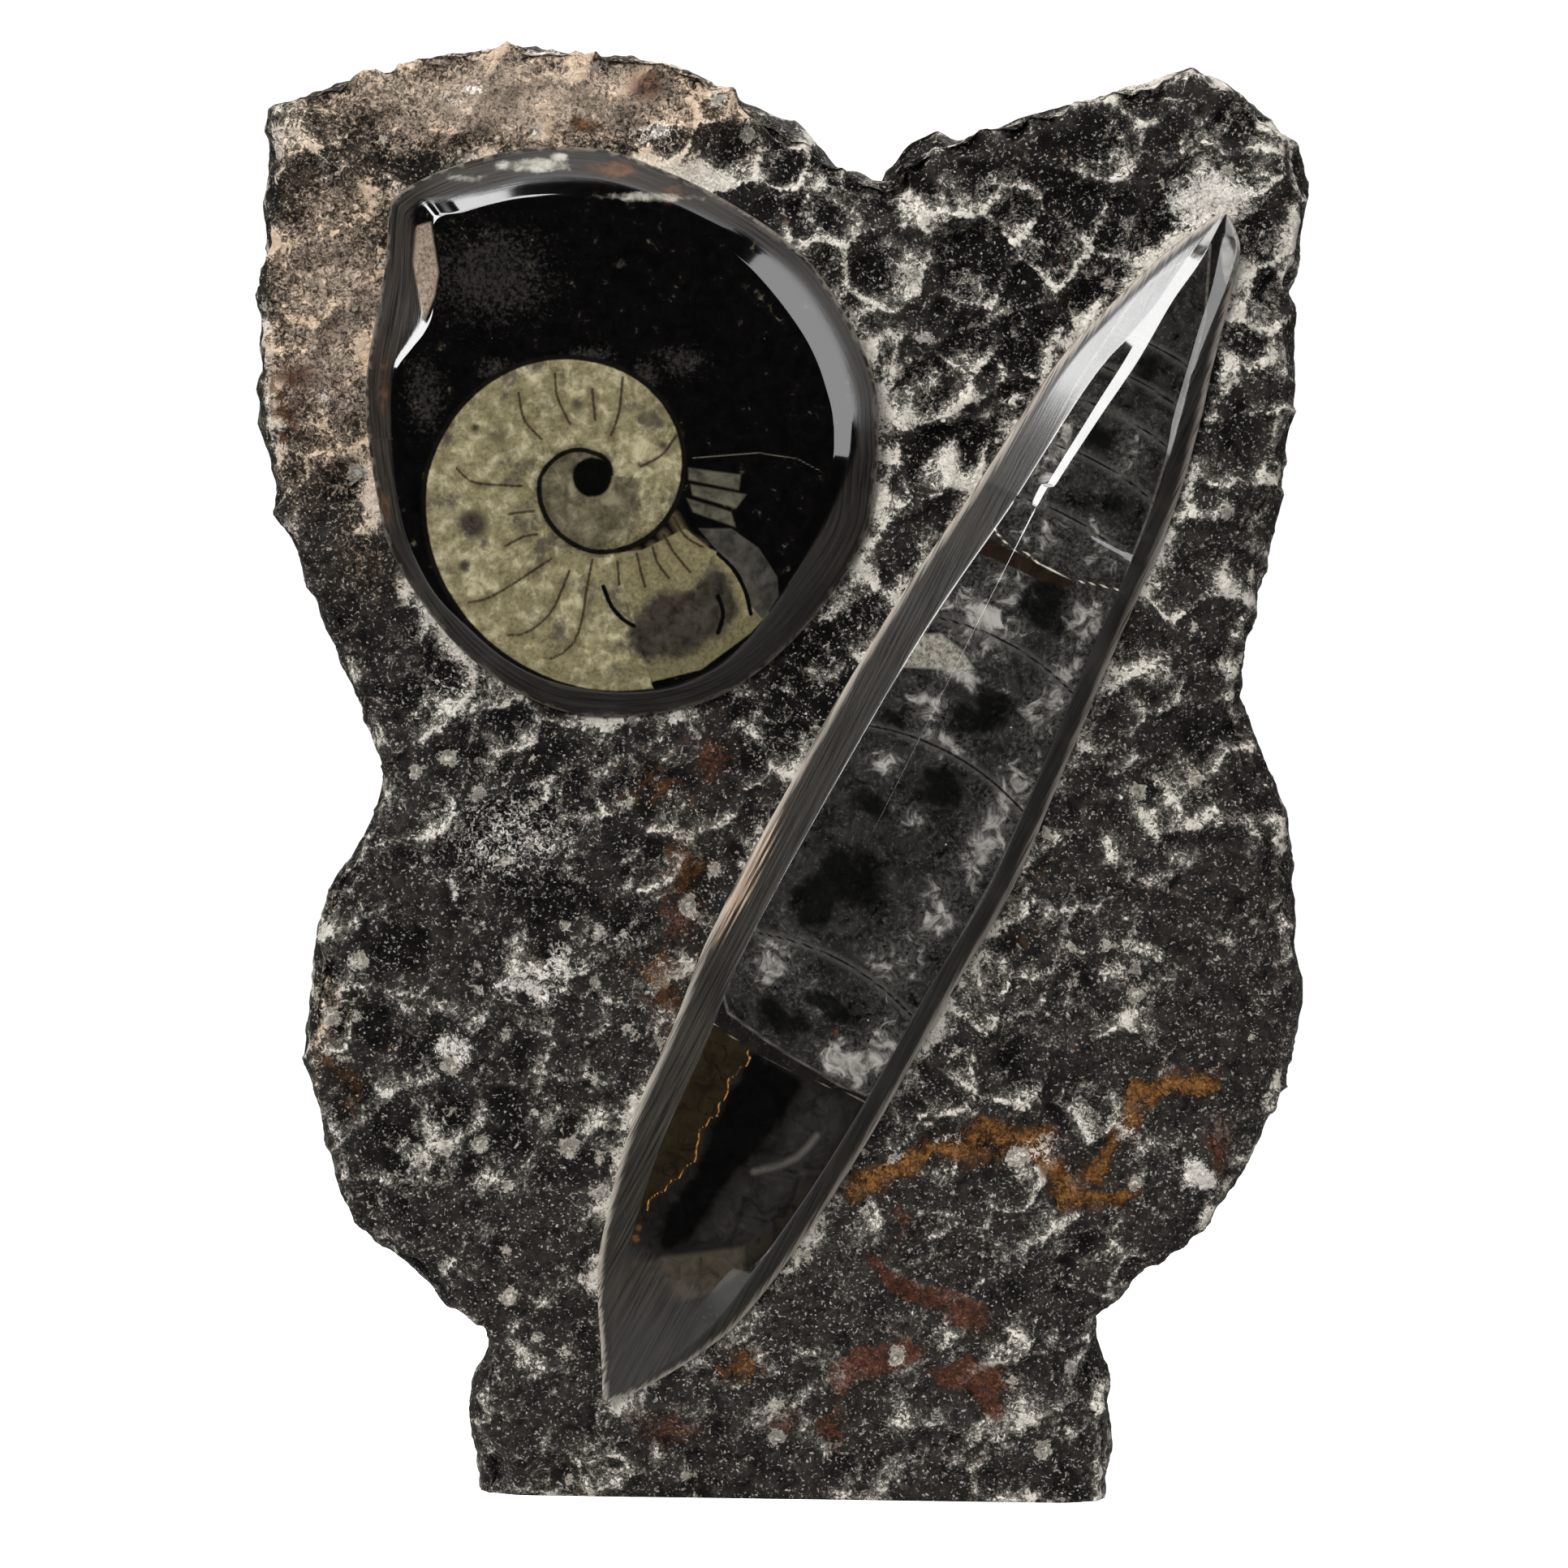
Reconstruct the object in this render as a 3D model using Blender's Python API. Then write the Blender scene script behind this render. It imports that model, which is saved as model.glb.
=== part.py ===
"""A standing fossil display, carved from one slab of black limestone.

The slab has a hammered front with two polished bosses left standing on it: a broad lozenge that
shows a cut goniatite, and a long spindle that shows an orthoceras. The foot is sawn flat. It is
all one stone, so it is one solid. X runs to the right, Y to the back and Z up, and the origin is
under the middle of the slab, on the ground.
"""

import math

import bmesh
import bpy
import numpy as np

MM = 0.001

# The trimmed edge of the slab, seen from the front, as (x, z) in millimetres. Each side is a list
# of the places where the edge turns, and a smooth curve runs through them.
LEFT_EDGE = (
    (-73.0, -6.0), (-73.4, 6.0), (-75.2, 14.5), (-74.6, 23.0), (-71.9, 31.9), (-70.8, 36.7),
    (-73.4, 41.6), (-80.8, 46.9), (-98.1, 62.3), (-106.1, 74.5), (-112.4, 99.8), (-113.6, 119.0),
    (-110.5, 138.7), (-108.4, 145.9), (-99.5, 157.3), (-95.3, 169.5), (-97.4, 180.1),
    (-110.5, 211.5), (-116.9, 230.1), (-122.1, 249.5), (-122.8, 279.3), (-121.5, 290.3),
    (-121.9, 303.1), (-119.4, 325.9),
)
RIGHT_EDGE = (
    (76.0, -6.0), (77.6, 4.0), (78.4, 14.0), (76.6, 31.0), (74.6, 41.4), (76.0, 45.0),
    (89.8, 58.0), (100.8, 66.7), (108.0, 76.2), (117.5, 96.5), (122.1, 115.0), (121.1, 134.5),
    (119.6, 156.4), (112.4, 178.4), (106.9, 192.5), (111.6, 212.4), (117.9, 250.4),
    (119.6, 275.1), (119.2, 285.2), (121.9, 292.0), (122.1, 314.1), (116.6, 323.6),
    (110.7, 329.3),
)
TOP_EDGE = (
    (-119.4, 325.9), (-109.7, 331.4), (-92.8, 336.1), (-75.7, 340.1), (-64.9, 341.4),
    (-46.1, 339.9), (-24.8, 337.4), (-12.1, 330.6), (3.1, 322.6), (13.0, 314.4), (23.8, 311.6),
    (29.0, 315.6), (48.7, 322.6), (82.7, 332.7), (93.2, 334.8), (103.3, 333.8), (110.7, 329.3),
)

# How the slab is thick: its front stands upright, and its back leans in towards the top.
FRONT_Y = -21.0
BACK_FOOT_Y = 28.5
BACK_LEAN = 0.045
FOOT_SET_BACK = 12.0
FOOT_HEIGHT = 36.0
ARRIS_DROP = 3.0
ARRIS_REACH = 5.0
# Depth through the slab, from -1 at the front to 1 at the back, and how far in the edge is there.
EDGE_LAYERS = (-1.0, -0.8, -0.4, 0.3, 0.8, 1.0)
EDGE_INSETS = (3.0, 1.0, 0.0, 1.5, 6.0, 11.0)

# The lump at the back of the notch, which looks over the front edge. It spreads towards its foot.
KNOB_X, KNOB_Y, KNOB_Z = 33.0, 6.0, 307.5
KNOB_HALF_SIZES = (8.5, 9.0, 18.0)
KNOB_SPREAD = 0.7

# The goniatite boss: its foot's outline as (x, z), the width of its ground bevel by compass angle
# about its middle, and how far its face stands out of the slab's front.
GONIATITE_MIDDLE = (-37.3, 250.4)
GONIATITE_OUTLINE = (
    (21.9, 246.0), (19.2, 228.0), (9.2, 211.5), (-5.3, 196.5), (-20.0, 188.3), (-39.3, 185.4),
    (-57.0, 188.5), (-75.8, 201.4), (-90.5, 221.5), (-95.2, 238.0), (-97.6, 258.0),
    (-96.5, 271.0), (-93.1, 289.0), (-91.8, 303.0), (-89.9, 307.0), (-79.1, 312.8),
    (-63.0, 317.2), (-48.4, 318.0), (-35.0, 315.4), (-13.8, 305.6), (6.4, 290.4), (20.3, 266.0),
)
BEVEL_WIDTHS = (
    (-180, 6.4), (-150, 5.6), (-120, 5.4), (-95, 5.7), (-60, 8.0), (-38, 12.5), (-20, 11.5),
    (0, 11.6), (30, 10.4), (60, 9.0), (82, 7.2), (105, 8.6), (126, 9.6), (140, 6.6), (149, 11.6),
    (160, 8.2), (180, 6.4),
)
GONIATITE_RISE = 9.0
SHOULDER_RISE = 5.8
SHOULDER_SHARE = 0.45

# The orthoceras boss: its line from the top tip to the bottom tip, and then its widths along that
# line, as (distance from the top tip, half-width on that side).
SPINDLE_TOP = (102.7, 302.4)
SPINDLE_BOTTOM = (-41.8, 24.4)
SPINDLE_LEFT = (
    (0.0, 1.2), (15.0, 8.4), (34.0, 14.8), (50.0, 18.8), (81.0, 21.9), (120.0, 26.5),
    (172.0, 28.8), (205.0, 29.0), (227.0, 26.8), (254.0, 24.7), (280.0, 18.5), (292.0, 13.3),
    (303.0, 6.8), (313.3, 1.0),
)
SPINDLE_RIGHT = (
    (0.0, 1.2), (5.0, 6.6), (14.0, 9.5), (34.0, 14.2), (46.0, 17.4), (69.0, 21.8), (106.0, 24.6),
    (137.0, 27.2), (165.0, 29.0), (190.0, 27.6), (227.0, 26.4), (255.0, 24.0), (280.0, 19.8),
    (293.0, 14.7), (305.0, 7.6), (313.3, 1.0),
)
SPINDLE_RISE = 9.6
TIP_RISE = 2.6
LEFT_BEVEL, RIGHT_BEVEL = 7.2, 3.6
ROOF_END = 150.0
ROOF_SLOPE = 0.36
CROWN_HALF_WIDTH = 5.0

# How much of each boss is sunk in the slab, so that the two are one stone.
BOSS_ROOT = 9.0

# Relief of the broken stone: (grain size, height, seed) of each layer of swells, and the chisel's
# bites, in millimetres.
SWELLS = ((75.0, 2.0, 11), (30.0, 1.2, 12), (13.0, 0.9, 13), (6.0, 0.45, 14))
BITE_SIZE = 11.0
BITE_DEPTH = 3.4
BITE_SEED = 21

# The cube's cuts across, up and through, before it is thinned to the count that is kept.
CUTS_ACROSS, CUTS_UP, CUTS_THROUGH = 84, 118, 9
KEPT_SHARE = 0.185
SPINDLE_STATIONS = 44


def clear_scene():
    """Removes whatever the file started with."""
    for old in list(bpy.data.objects):
        bpy.data.objects.remove(old, do_unlink=True)


def make_collection(name):
    """A new collection, linked to the scene."""
    collection = bpy.data.collections.new(name)
    bpy.context.scene.collection.children.link(collection)
    return collection


def smooth_curve(corners, count):
    """Points spread evenly along a Catmull-Rom curve through the corners."""
    knots = np.array(corners, float)
    before = np.vstack([2 * knots[0] - knots[1], knots, 2 * knots[-1] - knots[-2]])
    t = np.linspace(0, 1, 9)[:-1, None]
    spans = []
    for p0, p1, p2, p3 in zip(before, before[1:], before[2:], before[3:]):
        spans.append(
            0.5 * (2 * p1 + (p2 - p0) * t + (2 * p0 - 5 * p1 + 4 * p2 - p3) * t**2
                   + (3 * p1 - p0 - 3 * p2 + p3) * t**3)
        )
    path = np.vstack([*spans, knots[-1:]])
    run = np.concatenate([[0], np.cumsum(np.linalg.norm(np.diff(path, axis=0), axis=1))])
    even = np.linspace(0, run[-1], count)
    return np.column_stack([np.interp(even, run, path[:, k]) for k in range(2)])


def lattice_value(cell, seed):
    """A repeatable number from 0 to 1 for each whole-number cell."""
    x, y, z = cell.T
    mixed = (x * 374761393 + y * 668265263 + z * 1103515245 + seed * 974711) & 0xFFFFFFFF
    mixed = ((mixed ^ (mixed >> 13)) * 1274126177) & 0xFFFFFFFF
    return ((mixed ^ (mixed >> 16)) & 0xFFFFFF) / 0xFFFFFF


def swell(points, size, seed):
    """Smooth noise from -1 to 1: random values at cube corners, blended between them."""
    scaled = points / size
    low = np.floor(scaled).astype(np.int64)
    share = scaled - low
    share = share * share * (3 - 2 * share)
    total = np.zeros(len(points))
    for corner in np.ndindex(2, 2, 2):
        weight = np.prod(np.where(np.array(corner), share, 1 - share), axis=1)
        total += weight * lattice_value(low + np.array(corner), seed)
    return 2 * total - 1


def chisel_bites(points, size, seed):
    """0 at the bottom of each chisel bite, rising to about 1 on the ridges between the bites."""
    scaled = points / size
    low = np.floor(scaled).astype(np.int64)
    nearest = np.full(len(points), 9.0)
    for step in np.ndindex(3, 3, 3):
        cell = low + np.array(step) - 1
        middle = cell + np.column_stack([lattice_value(cell, seed + k) for k in range(3)])
        nearest = np.minimum(nearest, ((scaled - middle) ** 2).sum(axis=1))
    return np.clip(nearest, 0, 1)


def front_setback(x, z):
    """How far the foot's front is set back: more at its left corner than at its right."""
    low = np.clip(1 - z / FOOT_HEIGHT, 0, 1)
    left = np.clip(0.5 - x / 150.0, 0, 1)
    return FOOT_SET_BACK * low**2 * left


def slab_surface(across, up, through):
    """Where the slab's skin is: the four edges blended over its face (a Coons patch), by depth.

    across and up run from 0 to 1, and through from -1 at the front to 1 at the back.
    """
    samples = 400
    even = np.linspace(0, 1, samples)
    left, right = smooth_curve(LEFT_EDGE, samples), smooth_curve(RIGHT_EDGE, samples)
    top = smooth_curve(TOP_EDGE, samples)
    inset = np.interp(through, EDGE_LAYERS, EDGE_INSETS)
    low_z = left[0, 1]

    def along(curve, share):
        return np.column_stack([np.interp(share, even, curve[:, k]) for k in range(2)])

    left_at, right_at, top_at = along(left, up), along(right, up), along(top, across)
    left_at[:, 0] += inset
    right_at[:, 0] -= inset
    top_at[:, 1] -= inset
    foot_at = np.column_stack(
        [left[0, 0] + inset + across * (right[0, 0] - left[0, 0] - 2 * inset),
         np.full(len(across), low_z)]
    )
    u, v = across[:, None], up[:, None]
    corner = np.column_stack([inset, -inset])
    top_left, top_right = left[-1] + corner, right[-1] - np.column_stack([inset, inset])
    foot_left = left[0] + corner * [1, 0]
    foot_right = right[0] - corner * [1, 0]
    top_at[:, 0] += inset * (1 - 2 * across)
    face = (
        (1 - u) * left_at + u * right_at + (1 - v) * foot_at + v * top_at
        - (1 - u) * (1 - v) * foot_left - u * (1 - v) * foot_right
        - (1 - u) * v * top_left - u * v * top_right
    )
    x, z = face.T
    wide = right_at[:, 0] - left_at[:, 0]
    edge = np.minimum(np.minimum(across, 1 - across) * wide, (1 - up) * (z + 10) / (up + 0.01))
    drop = ARRIS_DROP * np.exp(-((edge / ARRIS_REACH) ** 2))
    front = FRONT_Y + drop + front_setback(x, z)
    back = BACK_FOOT_Y - BACK_LEAN * z - drop
    y = front + (back - front) * (through + 1) / 2
    return np.column_stack([x, y, z])


def stone_relief(points):
    """How far the broken stone stands out of its general surface, in millimetres."""
    height = np.zeros(len(points))
    for size, tall, seed in SWELLS:
        height += tall * swell(points, size, seed)
    rough = 0.55 + 0.45 * swell(points, 55.0, 31)
    height += BITE_DEPTH * rough * (chisel_bites(points, BITE_SIZE, BITE_SEED) - 0.45)
    return height


def box_grid(cuts):
    """A cube of side 2, with each axis cut into its own number of slices."""
    shape = bmesh.new()
    bmesh.ops.create_cube(shape, size=2.0)
    for axis, count in enumerate(cuts):
        running = [
            e for e in shape.edges if abs(e.verts[0].co[axis] - e.verts[1].co[axis]) > 1e-6
        ]
        bmesh.ops.subdivide_edges(shape, edges=running, cuts=count - 1, use_grid_fill=True)
    return shape


def finish_object(name, shape, points, collection):
    """Makes an object of a shape whose vertices move to the points, given in millimetres."""
    mesh = bpy.data.meshes.new(name)
    bmesh.ops.recalc_face_normals(shape, faces=shape.faces)
    shape.to_mesh(mesh)
    shape.free()
    mesh.vertices.foreach_set("co", (points * MM).astype(np.float32).ravel())
    mesh.update()
    obj = bpy.data.objects.new(name, mesh)
    collection.objects.link(obj)
    return obj


def vertex_points(shape):
    """The vertices of a shape as an array."""
    return np.array([v.co for v in shape.verts], float)


def face_outward(obj):
    """Turns the faces outwards once the vertices are in their places."""
    shape = bmesh.new()
    shape.from_mesh(obj.data)
    bmesh.ops.recalc_face_normals(shape, faces=shape.faces)
    shape.to_mesh(obj.data)
    shape.free()
    obj.data.update()


def make_slab(collection):
    """The slab: a finely cut cube whose skin is moved to the trimmed outline, then broken up."""
    shape = box_grid((CUTS_ACROSS, CUTS_THROUGH, CUTS_UP))
    across, through, up = vertex_points(shape).T
    points = slab_surface((across + 1) / 2, (up + 1) / 2, through)
    slab = finish_object("stone_slab", shape, points, collection)
    face_outward(slab)
    normals = np.empty(len(points) * 3, np.float32)
    slab.data.vertex_normals.foreach_get("vector", normals)
    points = points + normals.reshape(-1, 3) * stone_relief(points)[:, None]
    slab.data.vertices.foreach_set("co", (points * MM).astype(np.float32).ravel())
    slab.data.update()
    return slab


def make_knob(collection):
    """The lump behind the notch: a coarse ball, roughened like the slab."""
    shape = bmesh.new()
    bmesh.ops.create_icosphere(shape, subdivisions=3, radius=1.0)
    ball = vertex_points(shape)
    points = ball * KNOB_HALF_SIZES
    points[:, 0] *= 1 + KNOB_SPREAD * np.clip(-ball[:, 2], -0.3, 1)
    points += [KNOB_X, KNOB_Y, KNOB_Z]
    points += ball * swell(points, 8.0, 41)[:, None]
    knob = finish_object("knob", shape, points, collection)
    face_outward(knob)
    return knob


def make_goniatite(collection):
    """The lozenge: a cylinder whose rings become the foot, the shoulder and the edge of the face."""
    around, rings = 96, 4
    shape = bmesh.new()
    bmesh.ops.create_cone(
        shape, cap_ends=True, segments=around, radius1=1.0, radius2=1.0, depth=2.0
    )
    upright = [e for e in shape.edges if abs(e.verts[0].co.z - e.verts[1].co.z) > 1e-6]
    bmesh.ops.subdivide_edges(shape, edges=upright, cuts=rings - 1)
    ring = vertex_points(shape)
    angle = np.arctan2(ring[:, 1], ring[:, 0])
    level = np.rint((ring[:, 2] + 1) / 2 * rings).astype(int)
    middle = np.array(GONIATITE_MIDDLE)
    loop = smooth_curve(GONIATITE_OUTLINE + GONIATITE_OUTLINE[:1], 400) - middle
    loop_angle = np.arctan2(loop[:, 1], loop[:, 0])
    order = np.argsort(loop_angle)
    reach = np.interp(
        angle, loop_angle[order], np.linalg.norm(loop, axis=1)[order], period=2 * math.pi
    )
    bevel = np.interp(np.degrees(angle), *np.array(BEVEL_WIDTHS, float).T)
    inward = np.array([-1.5, 0.0, SHOULDER_SHARE, 0.93, 1.0])[level] * bevel
    outward = np.array([-BOSS_ROOT, 0.0, SHOULDER_RISE, GONIATITE_RISE - 0.5, GONIATITE_RISE])
    radius = reach - inward
    points = np.column_stack(
        [middle[0] + radius * np.cos(angle), FRONT_Y - outward[level],
         middle[1] + radius * np.sin(angle)]
    )
    boss = finish_object("goniatite_boss", shape, points, collection)
    face_outward(boss)
    return boss


def spindle_height(along, left, right, t):
    """Height of the spindle: the lowest of its ground facets at each place.

    t is the distance left of the middle line. The crown is flat, a roof slopes off each side of
    it near the top tip, and a steep bevel runs down to the foot on each side.
    """
    length = spindle_length()
    crown = TIP_RISE + (SPINDLE_RISE - TIP_RISE) * np.sin(math.pi * along / length) ** 0.6
    roof = ROOF_SLOPE * np.clip(1.25 - along / ROOF_END, 0.12, 1)
    ridge = 0.1 * along - CROWN_HALF_WIDTH
    left_roof = crown - roof * np.clip(t - np.clip(ridge, 0, 9), 0, None)
    right_roof = crown - roof * np.clip(-t - CROWN_HALF_WIDTH, 0, None)
    left_bevel = (left - t) / np.minimum(LEFT_BEVEL, 0.6 * left) * 0.75 * crown
    right_bevel = (right + t) / np.minimum(RIGHT_BEVEL, 0.5 * right) * 0.75 * crown
    return np.minimum.reduce([left_roof, right_roof, left_bevel, right_bevel])


def spindle_length():
    """Distance between the spindle's tips."""
    return math.dist(SPINDLE_TOP, SPINDLE_BOTTOM)


def make_orthoceras(collection):
    """The spindle: a cut box laid along the shell, its rows set on the edges of the facets."""
    shape = box_grid((SPINDLE_STATIONS, 8, 1))
    row = vertex_points(shape)
    length = spindle_length()
    share = (row[:, 0] + 1) / 2
    along = length * (0.5 - 0.5 * np.cos(math.pi * share))
    left = np.interp(along, *np.array(SPINDLE_LEFT).T)
    right = np.interp(along, *np.array(SPINDLE_RIGHT).T)
    column = np.rint((row[:, 1] + 1) * 4).astype(int)
    ridge = np.clip(0.1 * along - CROWN_HALF_WIDTH, 0, 9)
    crown_left = np.minimum(ridge, left * 0.3)
    crown_right = np.minimum(CROWN_HALF_WIDTH, right * 0.3)
    left_break = left - np.minimum(LEFT_BEVEL, 0.6 * left)
    right_break = right - np.minimum(RIGHT_BEVEL, 0.5 * right)
    lines = np.column_stack(
        [-right, -(right + right_break) / 2, -right_break, -(right_break + crown_right) / 2,
         -crown_right, crown_left, (left_break + crown_left) / 2, left_break, left]
    )
    t = lines[np.arange(len(column)), column]
    rise = spindle_height(along, left, right, t)
    rise = np.where(row[:, 2] > 0, np.maximum(rise, 0), -BOSS_ROOT)
    start, end = np.array(SPINDLE_TOP), np.array(SPINDLE_BOTTOM)
    forward = (end - start) / length
    leftward = np.array([forward[1], -forward[0]])
    spot = start + along[:, None] * forward + t[:, None] * leftward
    points = np.column_stack([spot[:, 0], FRONT_Y - rise, spot[:, 1]])
    boss = finish_object("orthoceras_boss", shape, points, collection)
    face_outward(boss)
    return boss


def make_ground_cutter(collection):
    """The block below the ground, which saws the foot flat."""
    shape = bmesh.new()
    bmesh.ops.create_cube(shape, size=2.0)
    points = vertex_points(shape) * [150.0, 80.0, 20.0] - [0.0, 0.0, 20.0]
    cutter = finish_object("ground_cutter", shape, points, collection)
    face_outward(cutter)
    return cutter


def add_boolean(obj, other, operation):
    """Joins another object to obj, or cuts it away."""
    modifier = obj.modifiers.new(other.name, "BOOLEAN")
    modifier.operation = operation
    modifier.object = other
    modifier.solver = "EXACT"


def hide_helper(obj):
    """Keeps a helper out of the render."""
    obj.hide_render = True
    obj.display_type = "WIRE"


def limestone():
    """Black fossil limestone, mostly rough."""
    material = bpy.data.materials.new("black_limestone")
    material.use_nodes = True
    shader = material.node_tree.nodes["Principled BSDF"]
    shader.inputs["Base Color"].default_value = (0.075, 0.068, 0.062, 1.0)
    shader.inputs["Roughness"].default_value = 0.7
    shader.inputs["Metallic"].default_value = 0.0
    return material


def main():
    """Builds the display."""
    clear_scene()
    display = make_collection("fossil_display")
    helpers = make_collection("helpers")
    slab = make_slab(display)
    slab.data.materials.append(limestone())
    for helper in (make_knob(helpers), make_goniatite(helpers), make_orthoceras(helpers)):
        add_boolean(slab, helper, "UNION")
        hide_helper(helper)
    tidy = slab.modifiers.new("tidy", "WELD")
    tidy.merge_threshold = 0.1 * MM
    thin = slab.modifiers.new("thin", "DECIMATE")
    thin.ratio = KEPT_SHARE
    cutter = make_ground_cutter(helpers)
    add_boolean(slab, cutter, "DIFFERENCE")
    hide_helper(cutter)


main()
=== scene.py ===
"""Dresses a fossil display: a standing slab of black limestone with two polished bosses.

The slab is hammered rough. A bevelled lozenge and a long faceted spindle are left standing on its
front and polished, and a goniatite and an orthoceras are cut flush in them. Lengths are in
millimetres, as x to the right, y to the back and z up, until a mesh is made in metres.
"""
import logging
import math
from collections.abc import Callable, Iterable
from dataclasses import dataclass
from enum import Enum
from functools import partial

import bpy
import numpy as np
from mathutils import Matrix, Vector


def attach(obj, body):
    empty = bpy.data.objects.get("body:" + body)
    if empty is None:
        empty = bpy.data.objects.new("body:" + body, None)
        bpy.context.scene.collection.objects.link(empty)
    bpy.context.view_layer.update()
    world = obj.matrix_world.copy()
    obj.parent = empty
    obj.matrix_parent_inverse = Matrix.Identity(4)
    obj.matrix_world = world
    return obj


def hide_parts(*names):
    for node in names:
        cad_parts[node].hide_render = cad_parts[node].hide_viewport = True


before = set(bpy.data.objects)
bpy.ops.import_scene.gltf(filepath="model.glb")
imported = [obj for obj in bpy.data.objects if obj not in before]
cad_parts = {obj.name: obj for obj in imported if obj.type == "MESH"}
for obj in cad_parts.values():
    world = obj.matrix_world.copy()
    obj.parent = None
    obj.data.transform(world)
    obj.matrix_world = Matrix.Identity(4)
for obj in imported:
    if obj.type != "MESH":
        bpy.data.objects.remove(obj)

Array = np.ndarray
Socket = bpy.types.NodeSocket
Corners = tuple[tuple[float, float], ...]
Reach = float | tuple[float, float]
Places = tuple[tuple[tuple[float, float], Reach, float], ...]

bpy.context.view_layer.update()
MM = 0.001
# The slab's front, how far a boss's hidden wall spreads, and a distance that no layer shows at.
FRONT_Y = -21.0
WALL_SPREAD = 0.7
FAR = 9.0
LOG = logging.getLogger("fossil_display")


class Slot(Enum):
    """The record's material slots."""

    ROUGH = "rough_limestone"
    BLACK = "polished_limestone"
    CALCITE = "polished_calcite"


# ---- colours and nodes ----


def linear(hex_colour: str) -> tuple[float, float, float, float]:
    """Turns an sRGB hex colour to linear light.

    Args:
        hex_colour: six hex digits, such as "8a7f70".

    Returns:
        The linear red, green and blue, and an alpha of 1.
    """
    shares = [int(hex_colour[k:k + 2], 16) / 255 for k in (0, 2, 4)]
    return (*[s / 12.92 if s <= 0.04045 else ((s + 0.055) / 1.055) ** 2.4 for s in shares], 1.0)


def add_node(
    tree: bpy.types.NodeTree,
    kind: str,
    inputs: dict[int | str, object] | None = None,
    output: int | str = 0,
    **settings: object,
) -> Socket:
    """Adds a node, with its settings and links.

    Args:
        tree: the node tree that gets it.
        kind: the node's type, without "ShaderNode".
        inputs: for each input, by name or number, a socket to link or a value to set.
        output: which of its outputs to give.
        settings: values of the node's own properties.

    Returns:
        The output.
    """
    node = tree.nodes.new("ShaderNode" + kind)
    for name, value in settings.items():
        setattr(node, name, value)
    for key, value in (inputs or {}).items():
        if isinstance(value, Socket):
            tree.links.new(value, node.inputs[key])
        else:
            node.inputs[key].default_value = value
    return node.outputs[output]


# ---- finishes ----


class Blend(Enum):
    """How a layer of colour lies on those below."""

    OVER = "MIX"
    TINT = "MULTIPLY"


@dataclass(frozen=True)
class Layer:
    """A colour that shows where a source passes a level.

    Attributes:
        source: the noise or the mesh's field that it reads.
        low: the value where it starts to show.
        high: the value where it shows fully.
        tones: the two sRGB colours that it is mottled between.
        share: how much of it shows at most.
        ragged: how far noise moves the source, in the source's units.
        noise: the noise that moves it and mottles it.
        blend: how it lies on the colours below.
    """

    source: str
    low: float
    high: float
    tones: tuple[str, str]
    share: float = 1.0
    ragged: float = 0.0
    noise: str = "medium"
    blend: Blend = Blend.OVER


@dataclass(frozen=True)
class Grain:
    """Fractal noise in the stone.

    Attributes:
        size: the width of its largest grains, in millimetres.
        detail: how many times they are broken down.
        rough: how strong the finer grains are.
        swirl: how far it is twisted into fibres.
    """

    size: float
    detail: float = 5.0
    rough: float = 0.6
    swirl: float = 0.0


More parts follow.
